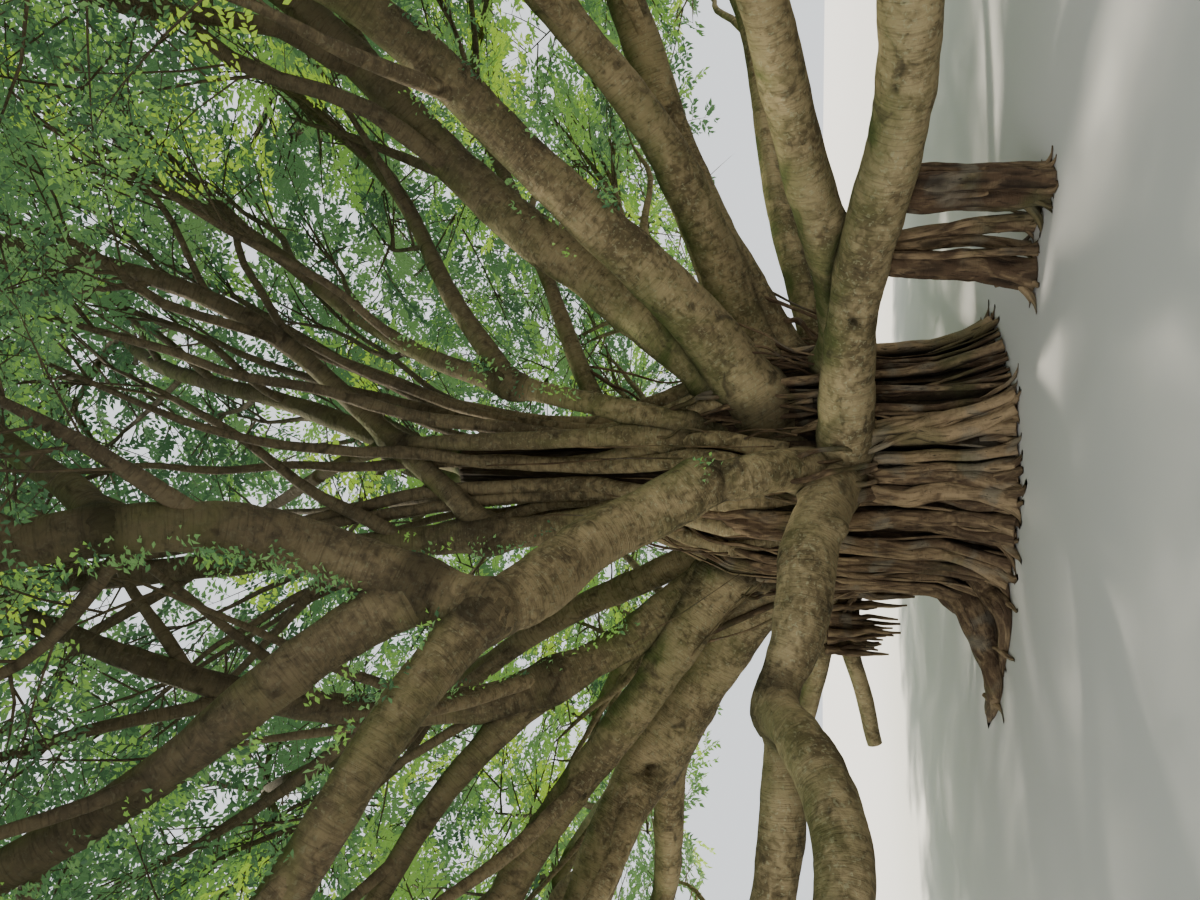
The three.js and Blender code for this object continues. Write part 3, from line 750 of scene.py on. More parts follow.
MASSES = [
    Mass("mass_front_left_skirt", "low_left_near_arm", (-5.5, -6.1, 4.7)),
    Mass("mass_front_right_skirt", "low_right_arm", (5.7, -6.2, 4.7)),
    Mass("mass_front", "front_top_limb", (0, -7.4, 6)),
    Mass("mass_left_skirt", "low_left_far_arm", (-7.7, -2.4, 4.7)),
    Mass("mass_back_left_side_skirt", "left_big_arm", (-7.6, 2.8, 4.8)),
    Mass("mass_right_skirt", "right_spread_bough", (7.8, -2, 4.9)),
    Mass("mass_back_right_side_skirt", "right_level_bough", (7.5, 3.4, 4.8)),
    Mass("mass_back_right_skirt", "back_right_bough", (4.3, 7, 4.8)),
    Mass("mass_back_skirt", "back_bough", (-0.2, 7.6, 5)),
    Mass("mass_back_left_skirt", "back_left_bough", (-4.7, 6.5, 4.8)),
    Mass("mass_left_shoulder", "left_steep_arm", (-6, -1.7, 8)),
    Mass("mass_back_left_shoulder", "left_twin_bough", (-4.5, 2.8, 8.6)),
    Mass("mass_back_right_shoulder", "high_right_limb", (5.2, 2.7, 8.4)),
    Mass("mass_right_shoulder", "right_steep_bough", (6, -1.6, 8.2)),
    Mass("mass_front_right_shoulder", "right_rising_bough", (3.9, -5.4, 8.2)),
    Mass("mass_front_left_shoulder", "front_crown_limb", (-3.9, -5.4, 8.3)),
    Mass("mass_back_shoulder", "back_high_bough", (0.3, 5.3, 8.7)),
    Mass("mass_top_left", "centre_left_bough", (-2.1, -2.3, 10.7)),
    Mass("mass_top_right", "centre_right_limb", (2.3, -2.2, 10.7)),
    Mass("mass_top", "centre_top_limb", (0.3, 1.7, 11.2)),
]


class GrownLimb:
    """A limb with its path worked out."""

    def __init__(self, limb: Limb, index: int, start: Array, steps: int = PATH_STEPS) -> None:
        """Grows the path: the heading turns and lifts evenly and weaves a little.

        Args:
            limb: its sizes.
            index: its place in the table, which seeds its weave.
            start: where it starts, metres.
            steps: how many steps it has; more than the usual number grows it past its tip.
        """
        self.limb = limb
        self.index = index
        part = (np.arange(steps) + 0.5) / PATH_STEPS
        wave = 2 * math.pi * (WAVES * part + chance(index, 1))
        bearing = limb.bearing + limb.turn * part + SWING * np.sin(wave)
        rise = limb.rise + limb.lift * part + SWING * np.cos(wave)
        strides = direction(bearing, rise) * (limb.length / PATH_STEPS)
        self.path = start + np.vstack([np.zeros(3), np.cumsum(strides, axis=0)])

    def radius(self, part: Array | float) -> Array:
        """Half the thickness at a fraction of the length, drawn in at a forked tip.

        It is an even taper x (1 + swell e^(-run / collar)).
        """
        limb = self.limb
        collar = TIP_COLLAR_SWELL if limb.goes_on else COLLAR_SWELL
        swell = 1 + collar * np.exp(-np.asarray(part) * limb.length / COLLAR_LENGTH)
        if limb.name in FORKED_TIPS:
            swell = swell * (1 - FORKED_TIP_TAPER * eased(part, 1 - FORKED_TIP_LENGTH / limb.length, 1.0))
        return swell * (limb.thick + (limb.thin - limb.thick) * part) / 2

    def distance(self, points: Array) -> Array:
        """How far points, (n, 3), lie outside the limb's skin: the least over its tapered steps."""
        foot = self.path[:-1]
        step = self.path[1:] - foot
        to_foot = points[:, None] - foot
        part = np.clip((to_foot * step).sum(-1) / (step * step).sum(-1), 0, 1)
        gap = np.linalg.norm(to_foot - part[..., None] * step, axis=-1)
        return (gap - self.radius((np.arange(len(foot)) + part) / PATH_STEPS)).min(1)

    def end(self) -> tuple[Array, Array]:
        """The tip, and the way the solid's flat end faces: from its last ring but one to its last."""
        rings = max(3, round(self.limb.length / RING_SPACING))
        before = along_path(self.path, 1 - 1 / rings)
        return self.path[-1], unit(self.path[-1] - before)


def grown_limbs() -> dict[str, GrownLimb]:
    """Every limb of the table, grown in order, each from its parent or from the trunk.

    Returns:
        The grown limbs by name.
    """
    limbs: dict[str, GrownLimb] = {}
    for index, limb in enumerate(LIMBS):
        if limb.forked:
            parent, part = limb.start
            start = along_path(limbs[parent].path, part)
        else:
            start = np.array(limb.start, float)
        limbs[limb.name] = GrownLimb(limb, index, start)
    return limbs


LIMB_BY_NAME = grown_limbs()


def gap_to_limbs(points: Array, but: str = "") -> Array:
    """How far points lie outside the nearest limb, with one limb left out if it is named."""
    gaps = [grown.distance(points) for name, grown in LIMB_BY_NAME.items() if name != but]
    return np.min(gaps, axis=0)


# The trunk


@dataclass(frozen=True)
class Strand:
    """A root down the trunk's side: bearings of head and foot, height of the head, thickness."""

    head: float
    foot: float
    height: float
    thick: float
    flat: float = 0.92
    tone: float = 0.5
    stand: float = 0.0
    columns: int = 12


def tube(path: Array, half: Array, columns: int, first: Array = UP) -> tuple[Array, Array]:
    """A tube's grid round a path, kept above the ground, and the ring's directions at each ring.

    Args:
        path: (n, 3).
        half: its radius at each point of the path, (n,), or at each point of the grid, (n, columns).
        columns: how many sides it has.
        first: the way the first column faces.

    Returns:
        (n, columns, 3) and (n, columns, 3).
    """
    side, square = carried_sides(path, unit(first + np.array([0.03, 0.05, 0.02])))
    ring = ring_ways(side, square, columns)
    half = half[:, None] if half.ndim == 1 else half
    grid = path[:, None] + half[..., None] * ring
    grid[..., 2] = np.maximum(grid[..., 2], 0.0)
    return grid, ring


@dataclass
class Toes:
    """The short roots that spread from a root's foot, as round tapering fingers that dip into the ground."""

    height: float = 0.2
    columns: int = 8

    def add(self, sheaf: Sheaf, foot: Array, way: float, reach: float, thick: float, seed: int) -> None:
        """One toe from above a foot: z falls as height (1 - t)^1.7, out grows as reach t^1.2.

        Args:
            sheaf: the mesh it joins.
            foot: where the root stands on the ground, (3,).
            way: the bearing it heads for.
            reach: how far it goes.
            thick: its thickness at its start.
            seed: its own bends.
        """
        t = np.linspace(0, 1, 12)
        bearing = way + 16 * (chance(seed, 56) - 0.5) * t + 7 * np.sin(6 * t + seed)
        path = foot + direction(bearing, 0) * (reach * t**1.2 - 0.04 * (1 - t))[:, None]
        path[:, 2] = self.height * (0.7 + 0.6 * chance(seed, 57)) * (1 - t) ** 1.7 - 0.3 * thick * t
        half = thick / 2 * (1 - 0.6 * t) * (0.4 + 0.6 * eased(t, 0.0, 0.3))
        half = half * (1 + 0.15 * rough(path, 0.12, 53, 2))
        grid, ring = tube(path, half, self.columns)
        # Painted shade: the toe darker underneath
        hollow = 0.25 - 0.25 * ring[..., 2]
        sheaf.add_grid(grid, thick * 3, reach * t, hollow=hollow, tone=0.3 + 0.6 * chance(seed, 54))


@dataclass
class Trunk:
    """The trunk: a core dark with painted shade, layers of roots that have grown together round it, and their
    toes.
    """

    # The body's height and radius at each ring
    rings: tuple = (
        *((-0.15, 1.24), (0.1, 1.2), (0.5, 1.09), (1.6, 1.08)),
        *((2.2, 1.03), (2.7, 0.76), (3.4, 0.44), (4.9, 0.25)),
    )
    # The core's share of the body's radius, and how high it goes
    inset: float = 0.82
    core_top: float = 4.85
    # How many unnamed roots there are in each layer
    inner: int = 88
    outer: int = 62
    vines: int = 64
    # Bearings between which the outer roots stand back in shadow
    deep: tuple = (299, 339)
    # Bearings between which roots end under the low boughs, and how high
    under_boughs: tuple = (263, 291)
    under_height: float = 1.15
    # How many points and columns a ground root has
    ground_rings: int = 46
    ground_columns: int = 18
    named: tuple = (
        Strand(277, 292, 1.3, 0.11, 0.85, 1.0, 0.08, 18),
        Strand(281, 296, 1.28, 0.08, 0.9, 0.85, 0.09),
        Strand(272, 299, 1.2, 0.05, 0.9, 0.7, 0.1),
        Strand(343, 346, 2.3, 0.13, 0.9, 1.0, 0.06, 16),
        Strand(317, 321, 2.1, 0.09, 0.9, 0.55, 0.03),
        Strand(236, 229, 1.6, 0.13, 0.9, 0.7, 0.04),
        Strand(203, 207, 1.9, 0.14, 0.9, 0.5, 0.04),
        Strand(248, 247, 2.5, 0.11, 0.8, 0.3, 0.03, 16),
        Strand(262, 261, 1.2, 0.15, 0.65, 0.8, 0.06, 18),
        Strand(268, 268, 1.15, 0.12, 0.7, 0.5, 0.05, 16),
    )
    # The bearing, reach and thickness of each root that runs out over the ground
    ground_roots: tuple = (
        (193, 2.2, 0.3),
        (212, 1.8, 0.22),
        (55, 1.75, 0.24),
        (98, 1.85, 0.24),
        (142, 1.9, 0.26),
    )

    def radius(self, height: Array | float) -> Array:
        """The body's radius at a height, straight between its rings."""
        heights, radii = np.array(self.rings).T
        return np.interp(height, heights, radii)

    def distance(self, points: Array) -> Array:
        """How far points lie outside the body, measured level, or above its top."""
        level = (np.hypot(points[..., 0], points[..., 1]) - self.radius(points[..., 2])) * 0.9
        return np.maximum(level, points[..., 2] - self.rings[-1][0])

    def add_core(self, sheaf: Sheaf) -> None:
        """The body behind the roots: its radius, pulled in by a groove at each noisy valley.

        radius = inset x profile x (1 - 0.08 valley), valley = 1 - |noise round the trunk|.

        Args:
            sheaf: the mesh it joins.
        """
        height = np.linspace(0.0, self.core_top, 110)
        bearing = np.linspace(0, 2 * math.pi, 200, endpoint=False)
        z, turn = np.meshgrid(height, bearing, indexing="ij")
        place = np.stack([np.cos(turn) * 4.5, np.sin(turn) * 4.5, z * 0.5], -1)
        valley = 1 - np.minimum(1, 2.2 * np.abs(rough(place, 1.0, 11, 3)))
        out = self.inset * self.radius(z) * (1 - 0.08 * valley)
        grid = np.stack([out * np.cos(turn), out * np.sin(turn), z], -1)
        # Painted shade: the core dark all over, darker still in its grooves
        sheaf.add_grid(grid, 2 * math.pi, height, hollow=0.55 + 0.4 * valley, tone=0.2)

    def strand_grid(self, strand: Strand, seed: int) -> tuple[Array, Array, Array]:
        """One root's grid, the painted shade at each point, and how far along each ring lies.

        The root's axis keeps to the body's skin, wavers, stands out at its foot, and sinks in at its
        head. Its ring is a little flat, with soft ribs and lumps along it.

        Args:
            strand: the root's sizes.
            seed: its own noise.

        Returns:
            (rings, columns, 3), (rings, columns) and (rings,).
        """
        part = np.linspace(0, 1, max(26, int(strand.height * 27))) ** 1.15
        z = strand.height * part
        line = seeded_line(z * 1.1, seed * 7.3)
        waver = 3.6 * rough(line, 1.0, 23, 2) + 1.8 * lattice(line * 3.4, 27)
        waver = waver * np.minimum(1, 2.5 * part + 0.4)
        bearing = strand.foot + (strand.head - strand.foot) * part + waver
        out = self.radius(z) * 0.955 + 0.022 * rough(line, 0.6, 29, 2) + strand.stand
        out = out + 0.07 * np.exp(-z / 0.16)
        sink = eased(part, 0.82, 1.0)
        out = out - (1.3 * strand.thick + 0.05) * sink
        path = direction(bearing, 0) * out[:, None] + UP * z[:, None]
        along = unit(np.gradient(path, axis=0))
        outward = direction(bearing, 0)
        outward = unit(outward - along * (outward * along).sum(-1, keepdims=True))
        aside = np.cross(along, outward)
        half = strand.thick / 2 * (1 + 0.3 * np.exp(-z / 0.1)) * (1 + 0.22 * rough(line, 0.33, 31, 2))
        half = half * (1 - 0.7 * sink)
        turn = turns_round(strand.columns)
        place = [np.cos(turn) * 1.1, np.sin(turn) * 1.1 + seed, (z * 2.2)[:, None]]
        ribs = 1 + 0.2 * rough(np.stack(np.broadcast_arrays(*place), -1), 1.0, 37, 3)
        ring = ring_ways(outward * strand.flat, aside, strand.columns)
        grid = path[:, None] + half[:, None, None] * ribs[..., None] * ring
        grid[..., 2] = np.maximum(grid[..., 2], 0.0)
        # Painted shade: darker on the root's sides and back, in the grooves between its ribs, and where it
        # stands back
        hollow = eased(0.55 - np.cos(turn), 0.0, 0.95) + np.maximum(0, 0.95 - ribs) * 2.5
        hollow = hollow - 4.5 * min(0, strand.stand)
        return grid, np.clip(hollow, 0, 1), z

    def seeded_strands(self) -> list[Strand]:
        """The unnamed roots, even round the trunk: an inner layer dark with painted shade, an outer one with
        gaps, and vines.

        Returns:
            The roots, from the inner layer out.
        """
        strands = []
        for i in range(self.inner):
            bearing = 360 * (i + 0.8 * (chance(i, 41) - 0.5)) / self.inner
            height = 1.6 + 2.4 * chance(i, 42)
            thick, tone = 0.06 + 0.06 * chance(i, 44), 0.25 * chance(i, 46)
            lean = 8 * (chance(i, 45) - 0.5)
            strands.append(Strand(bearing + lean, bearing, height, thick, 0.9, tone, -0.09, 9))
        for i in range(self.outer):
            bearing = 360 * (i + 0.95 * (chance(i, 47) - 0.5)) / self.outer
            tall = chance(i, 48)
            height = 1.3 + 1.8 * tall if tall < 0.7 else 2.6 + 1.8 * chance(i, 49)
            thick = 0.05 + 0.07 * chance(i, 50) ** 1.5
            lean = 13 * (chance(i, 51) - 0.5)
            stand, tone = 0.005 + 0.04 * chance(i, 52), 0.2 + 0.75 * chance(i, 55)
            # Painted shade: outer roots in the deep bearings stand back and take a much darker tone
            if self.deep[0] < bearing < self.deep[1]:
                stand, tone, thick = -0.05, 0.15 * tone, 0.8 * thick
            strands.append(Strand(bearing + lean, bearing, height, thick, 0.95, tone, stand))
        for i in range(self.vines):
            bearing = 360 * (i + 0.9 * (chance(i, 151) - 0.5)) / self.vines
            height = 1.5 + 2.0 * chance(i, 152)
            lean = 26 * (chance(i, 153) - 0.5)
            thick, tone = 0.018 + 0.026 * chance(i, 154), 0.2 + 0.8 * chance(i, 155)
            stand = 0.02 + 0.03 * chance(i, 156)
            # Painted shade: vines in the deep bearings take a darker tone
            if self.deep[0] < bearing < self.deep[1]:
                tone = 0.4 * tone
            strands.append(Strand(bearing + lean, bearing, height, thick, 1.0, tone, stand, 6))
        return [self.cut_short(strand) for strand in strands]

    def cut_short(self, strand: Strand) -> Strand:
        """The root, or a shorter one if it would pass through the low boughs."""
        under = self.under_boughs[0] < strand.head < self.under_boughs[1]
        return replace(strand, height=min(strand.height, self.under_height)) if under else strand

    def add_ground_root(self, sheaf: Sheaf, bearing: float, reach: float, thick: float, seed: int) -> None:
        """A root that runs out over the ground and sinks under it.

        Its height falls as (1.1 - 1.35 t^0.7) times its thickness, and its radius from 0.58 to 0.25 of it.

        Args:
            sheaf: the mesh it joins.
            bearing: where it heads.
            reach: how far from the trunk's middle it goes.
            thick: its thickness at the trunk.
            seed: its own bends.
        """
        t = np.linspace(0, 1, self.ground_rings)
        start = 0.8 * float(self.radius(0.0))
        turn = bearing + 10 * np.sin(4 * t) + 3 * np.sin(11 * t + seed)
        out = start + (reach - start) * t
        path = direction(turn, 0) * out[:, None] + UP * (thick * (1.1 - 1.35 * t**0.7))[:, None]
        place = path[:, None] + np.array([0.3, 0.1, 0.2]) * np.arange(self.ground_columns)[:, None] / 6
        half = thick * (0.58 - 0.33 * t)[:, None] * (1 + 0.22 * rough(place, 0.3, 61, 3))
        grid, ring = tube(path, half, self.ground_columns)
        # Painted shade: the root darker underneath
        hollow = np.clip(0.3 - 0.5 * ring[..., 2], 0, 1) * 0.7
        sheaf.add_grid(grid, thick * 3, t * reach, hollow=hollow, tone=0.35)
        toes = Toes(thick * 0.4)
        for k in range(4):
            at = int(self.ground_rings * (0.35 + 0.15 * k))
            way = turn[at] + (55 if k % 2 else -55)
            toes.add(sheaf, path[at] * np.array([1, 1, 0]), way, 0.3, thick * 0.3, 900 + 10 * seed + k)

    def build(self, bark: Material) -> None:
        """Makes the core and the roots of the front and back, all in place of the trunk's solid.

        Args:
            bark: the finish of all of them.
        """
        core = Sheaf()
        self.add_core(core)
        core.finish("trunk_core", [bark], "trunk_bark", ["trunk"])
        halves = {"trunk_roots_front": Sheaf(), "trunk_roots_back": Sheaf()}
        toes = Toes()
        for seed, strand in enumerate([*self.named, *self.seeded_strands()]):
            roots = halves["trunk_roots_front" if strand.foot % 360 > 180 else "trunk_roots_back"]
            grid, hollow, run = self.strand_grid(strand, seed)
            roots.add_grid(grid, strand.thick * 3, run, hollow=hollow, tone=strand.tone)
            out = float(self.radius(0.0)) * 0.94 + strand.stand
            for toe in range(2 if strand.stand > 0.0 and strand.thick > 0.045 else 0):
                own = 200 + 4 * seed + toe
                way = strand.foot + 52 * (toe - 0.5) + 20 * (chance(own, 58) - 0.5)
                foot = direction(strand.foot + 1.2 * (toe - 1), 0) * out
                reach = (0.1 + 0.24 * chance(own, 59) ** 2) * (0.6 + 4 * strand.thick)
                toes.add(roots, foot, way, reach, strand.thick * 0.95, own)
        for seed, (bearing, reach, thick) in enumerate(self.ground_roots):
            roots = halves["trunk_roots_front" if bearing > 180 else "trunk_roots_back"]
            self.add_ground_root(roots, bearing, reach, thick, seed)
        for name, roots in halves.items():
            roots.finish(name, [bark], "trunk_bark", ["trunk"])


TRUNK = Trunk()


# The boughs


@dataclass(frozen=True)
class Knot:
    """A knot on a limb's near side: how far along and round it, how wide and high, and how deep its eye."""

    limb: str
    part: float
    tilt: float
    width: float
    height: float
    eye: float

    def place(self) -> Array:
        """Its middle, on the limb's skin: out from the axis towards the standing place, then tilted."""
        grown = LIMB_BY_NAME[self.limb]
        at = refined(grown.path, np.array([self.part]))[0]
        way = way_at(grown.path, self.part, 0.02)
        face = unit(EYE - at)
        face = turned(unit(face - way * face.dot(way)), way, math.radians(self.tilt))
        return at + face * grown.radius(self.part)


KNOTS = [
    Knot("low_left_bough", 0.98, 70, 0.42, -0.1, 0.0),
    Knot("front_bough", 0.5, 35, 0.055, 0.05, 0.9),
    Knot("low_left_bough", 0.37, -48, 0.075, 0.11, 0.5),
    Knot("low_left_near_arm", 0.25, 10, 0.05, 0.03, 1.2),
    Knot("low_right_bough", 0.29, 5, 0.09, 0.03, 1.6),
    Knot("low_right_bough", 0.66, -20, 0.05, 0.02, 1.6),
    Knot("left_low_bough", 0.27, 0, 0.06, 0.06, 0.8),
    Knot("inner_right_bough", 0.1, 0, 0.035, 0.03, 0.9),
    Knot("centre_left_bough", 0.1, 20, 0.045, 0.03, 0.9),
    Knot("centre_left_bough", 0.19, -20, 0.035, 0.025, 0.9),
    Knot("front_top_limb", 0.18, 30, 0.05, 0.03, 0.8),
    Knot("left_big_bough", 0.36, -20, 0.17, -0.05, 2.2),
]


@dataclass
class Boughs:
    """Every limb as one smooth tapering tube, filleted where it meets the next, with its bark's relief."""

    bark: Material
    # How many columns a limb's rings have, and how far apart they stand
    near_sides: int = 52
    near_spacing: float = 0.028
    far_sides: int = 22
    far_spacing: float = 0.075
    # How wide the fillets are, at most, and how near limbs are that have one
    tip_fillet: float = 0.09
    front_fillet: float = 0.07
    crotch_fillet: float = 0.15
    widest_fillet: float = 0.26
    meeting: float = 0.12
    # How far the skin may move as it settles
    reach: float = 0.2
    # How mossy the low boughs and the others are on top, and all round
    low_moss: tuple = (0.34, 0.2)
    moss: tuple = (0.5, 0.28)
    # The angles of the rings that round off an end
    cap: tuple = (12, 30, 50, 70)

    def fillet(self, own: Limb, other: Limb) -> float:
        """How wide a fillet is: narrow where one limb goes on from the other's tip, or both from a third's.

        Args:
            own: the limb whose skin is made.
            other: the limb it meets.

        Returns:
            Metres.
        """
        names = [limb.start[0] for limb in (own, other) if limb.goes_on]
        if own.name in names or other.name in names or len(set(names)) < len(names):
            return self.tip_fillet
        if own.near:
            return self.front_fillet
        if not own.forked and not other.forked:
            return self.crotch_fillet
        return min(self.widest_fillet, 0.95 * own.thick / 2 + 0.06)

    def neighbours(self, grown: GrownLimb) -> list[tuple]:
        """The limbs that this limb's skin comes near, and the trunk.

        Args:
            grown: the limb.

        Returns:
            Pairs of a neighbour and the width of its fillet.
        """
        found = []
        for name, other in LIMB_BY_NAME.items():
            if name == grown.limb.name:
                continue
            gap = other.distance(grown.path) - grown.radius(np.linspace(0, 1, len(grown.path)))
            if gap.min() < self.meeting:
                found.append((other, self.fillet(grown.limb, other.limb)))
        found.append((TRUNK, self.front_fillet if grown.limb.near else self.crotch_fillet))
        return found

    def joined(self, points: Array, own: GrownLimb, others: list[tuple]) -> Array:
        """How far points lie outside the limb and its neighbours, filleted.

        Two distances a and b join as their least, less h^2 w / 4, h = 1 - |a - b| / w for a fillet w wide.

        Args:
            points: (n, 3).
            own: the limb.
            others: what it meets, each with the width of its fillet.

        Returns:
            One distance a point.
        """
        total = own.distance(points)
        for other, width in others:
            gap = other.distance(points)
            near = np.maximum(1 - np.abs(total - gap) / width, 0)
            total = np.minimum(total, gap) - near * near * width / 4
        return total

    def settled(self, points: Array, own: GrownLimb, others: list[tuple]) -> tuple[Array, Array, Array]:
        """Moves points onto the filleted skin, those inside a neighbour least.

        Each round moves a point by its distance, along the way in which that distance grows fastest.

        Args:
            points: (n, 3).
            own: the limb.
            others: what it meets, each with the width of its fillet.

        Returns:
            The moved points, the way out at each, and how far each lies inside a neighbour.
        """
        inside = np.min([other.distance(points) for other, _ in others], axis=0)
        share = eased(inside, -0.45 * self.reach, 0.0)[:, None]
        step = 0.004
        for _ in range(2):
            here = self.joined(points, own, others)
            rises = [self.joined(points + step * axis, own, others) - here for axis in np.eye(3)]
            way = unit(np.stack(rises, -1) / step)
            points = points - share * way * np.clip(here, -self.reach, self.reach)[:, None]
        return points, way, inside

    def relief(self, points: Array, grown: GrownLimb, half: Array) -> tuple[Array, Array]:
        """How far the bark stands out at each point, and the painted shade in the eyes of knots near by.

        The bark is two sizes of noise, faded out at the limb's start. A knot adds height e^(-d^2), less
        its eye, e^(-(2.4 d)^2), where d is the distance from its middle over its width.

        Args:
            points: (n, 3) on the smooth skin.
            grown: the limb.
            half: the limb's radius at each point.

        Returns:
            Metres out, and 0 to 1.
        """
        seed = 100 + grown.index
        fade = np.minimum(1, np.linalg.norm(points - grown.path[0], axis=1) / half / 2)
        lump = fade * half * (0.085 * rough(points, 0.6, seed, 2) + 0.045 * rough(points, 0.16, seed + 7, 3))
        hollow = np.zeros(len(points))
        for knot in KNOTS:
            far = np.linalg.norm(points - knot.place(), axis=1) / knot.width
            eye = 0.6 * knot.eye * knot.width * np.exp(-((2.4 * far) ** 2))
            lump = lump + knot.height * np.exp(-(far**2)) - eye
            # Painted shade in each knot's eye
            hollow = np.maximum(hollow, min(1, knot.eye) * np.exp(-((1.9 * far) ** 2)))
        return lump, hollow

    def spine(self, grown: GrownLimb, spacing: float) -> tuple[Array, Array, Array]:
        """A limb's rings, with a round start, and a round end where others go on from it.

        A round end's rings stand r cos(a) beyond the path's end, and are r sin(a) in radius.

        Args:
            grown: the limb.
            spacing: how far apart the rings stand.

        Returns:
            Each ring's middle, radius and fraction along the limb.
        """
        parts = np.linspace(0, 1, max(24, round(grown.limb.length / spacing)))
        path, half = refined(grown.path, parts), grown.radius(parts)
        turn = np.radians(self.cap)
        back = unit(path[0] - path[1])
        path = np.vstack([path[0] + back * (half[0] * np.cos(turn))[:, None], path])
        half = np.concatenate([half[0] * np.sin(turn), half])
        parts = np.concatenate([np.zeros(len(turn)), parts])
        if grown.limb.name in FORKED_TIPS:
            ahead = unit(path[-1] - path[-2])
            path = np.vstack([path, path[-1] + ahead * (half[-1] * np.cos(turn[::-1]))[:, None]])
            half = np.concatenate([half, half[-1] * np.sin(turn[::-1])])
            parts = np.concatenate([parts, np.ones(len(turn))])
        return path, half, parts

    def add_limb(self, grown: GrownLimb) -> Sheaf:
        """One limb's mesh: rings carried along its smooth path, settled, and given relief.

        Moss grows where the skin faces up, in noisy patches. Painted shade darkens the skin in knots, inside
        a fillet and underneath.

        Args:
            grown: the limb.

        Returns:
            The mesh.
        """
        near = grown.limb.near
        sides = self.near_sides if near else self.far_sides
        path, radii, parts = self.spine(grown, self.near_spacing if near else self.far_spacing)
        ring = ring_ways(*carried_sides(path, unit(ASKEW)), sides)
        flat = (path[:, None] + radii[:, None, None] * ring).reshape(-1, 3)
        points, way, inside = self.settled(flat, grown, self.neighbours(grown))
        lump, hollow = self.relief(points, grown, np.repeat(grown.radius(parts), sides))
        if grown.limb.name not in FORKED_TIPS:
            lump = lump * np.repeat(np.minimum(1, (1 - parts) * 12), sides)
        points = points + way * lump[:, None]
        points[:, 2] = np.maximum(points[:, 2], 0.0)
        shape = (len(parts), sides)
        crest, around = self.low_moss if grown.limb.name.startswith("low_") else self.moss
        moss = eased(way[:, 2], -0.25, 0.95) * crest + 0.24 * rough(points, 0.9, 71, 2) + around
        # Painted shade: knot eyes, the skin inside a neighbour, and the underside
        dark = np.maximum(hollow, 0.8 * eased(-inside, -0.12, 0.03))
        dark = np.maximum(dark, 0.42 * eased(-way[:, 2], 0.1, 0.95))
        sheaf = Sheaf()
        sheaf.add_grid(
            points.reshape(*shape, 3),
            math.pi * grown.limb.thick,
            run_along(path),
            moss=moss.reshape(shape),
            hollow=dark.reshape(shape),
        )
        return sheaf

    def build(self) -> None:
        """Makes a piece of bark in place of each limb's solid."""
        for name, grown in LIMB_BY_NAME.items():
            self.add_limb(grown).finish(f"{name}_bark", [self.bark], "limb_bark", [name])


# Roots that hang or have reached the ground


@dataclass(frozen=True)
class Leg:
    """One root of a pillar: its foot, a bow to one side, its head, its thickness and how pale it is."""

    pillar: str
    foot: tuple
    bow: tuple
    head: tuple
    thick: float
    tone: float


@dataclass
class Pillars:
    """The pillars under the low right bough: legs with fluted sides and splayed toes."""

    bark: Material
    height: float = 1.2
    legs: tuple = (
        Leg("pillar_left", (1.37, -1.68), (0.02, 0.0), (1.53, -1.86), 0.19, 0.2),
        Leg("pillar_left", (1.62, -1.6), (0.05, -0.02), (1.57, -1.84), 0.085, 0.8),
        Leg("pillar_left", (1.74, -1.7), (0.04, 0.0), (1.6, -1.86), 0.1, 0.6),
        Leg("pillar_left", (1.8, -1.78), (0.01, 0.0), (1.62, -1.88), 0.06, 0.7),
        Leg("pillar_left", (1.55, -1.8), (-0.03, -0.01), (1.56, -1.9), 0.06, 0.55),
        Leg("pillar_right", (1.9, -2.02), (-0.02, 0.0), (1.94, -2.15), 0.22, 0.1),
        Leg("pillar_right", (1.98, -2.1), (0.03, 0.02), (2.0, -2.16), 0.14, 0.3),
        Leg("pillar_right", (1.83, -2.08), (-0.02, 0.0), (1.9, -2.17), 0.11, 0.0),
        Leg("pillar_right", (1.93, -2.18), (0.0, -0.02), (1.96, -2.2), 0.12, 0.2),
    )

    def add_leg(self, sheaf: Sheaf, leg: Leg, seed: int) -> None:
        """One fluted leg: its axis bows by 4 t (1 - t), and its radius is swollen at head and foot.

        Args:
            sheaf: the mesh it joins.
            leg: its sizes.
            seed: its own noise.
        """
        t = np.linspace(0, 1, 64)
        foot, head = np.array([*leg.foot, 0.0]), np.array([*leg.head, self.height])
        path = foot + (head - foot) * t[:, None] + np.array([*leg.bow, 0.0]) * (4 * t * (1 - t))[:, None]
        line = seeded_line(t * 3, seed * 5.1)
        path[:, :2] += 0.022 * np.stack([lattice(line, 83), lattice(line, 84)], -1)
        columns = max(14, int(leg.thick * 130))
        turn = turns_round(columns) + 0.4 * t[:, None]
        place = np.stack([np.cos(turn), np.sin(turn), 0 * turn + t[:, None] * 2.4], -1)
        flutes = rough(place * 2.1 + seed, 1.0, 85, 3)
        profile = 1 + 0.3 * np.exp(-t / 0.05) + 0.35 * eased(t, 0.82, 1.0) + 0.1 * lattice(line * 2, 86)
        half = leg.thick / 2 * profile[:, None] * (1 + 0.2 * flutes)
        grid, _ = tube(path, half, columns, np.array([1.0, 0.0, 0.0]))
        # Painted shade in the grooves between the flutes
        hollow = np.clip(-flutes * 1.3, 0, 1) * 0.8
        sheaf.add_grid(grid, leg.thick * 3, t * self.height, hollow=hollow, tone=leg.tone)
        toes = Toes(0.16 + 0.5 * leg.thick)
        count = 3 + int(leg.thick * 20)
        for k in range(count):
            own = 700 + 20 * seed + k
            way = 360 * (k + chance(own, 87)) / count
            toes.add(sheaf, foot, way, leg.thick * (0.9 + 0.6 * chance(own, 88)), leg.thick * 0.42, own)

    def build(self) -> None:
        """Makes a piece in place of each pillar's solid."""
        sheaves: dict[str, Sheaf] = {}
        for seed, leg in enumerate(self.legs):
            self.add_leg(sheaves.setdefault(leg.pillar, Sheaf()), leg, seed)
        for name, sheaf in sheaves.items():
            sheaf.finish(f"{name}_bark", [self.bark], "trunk_bark", [name])


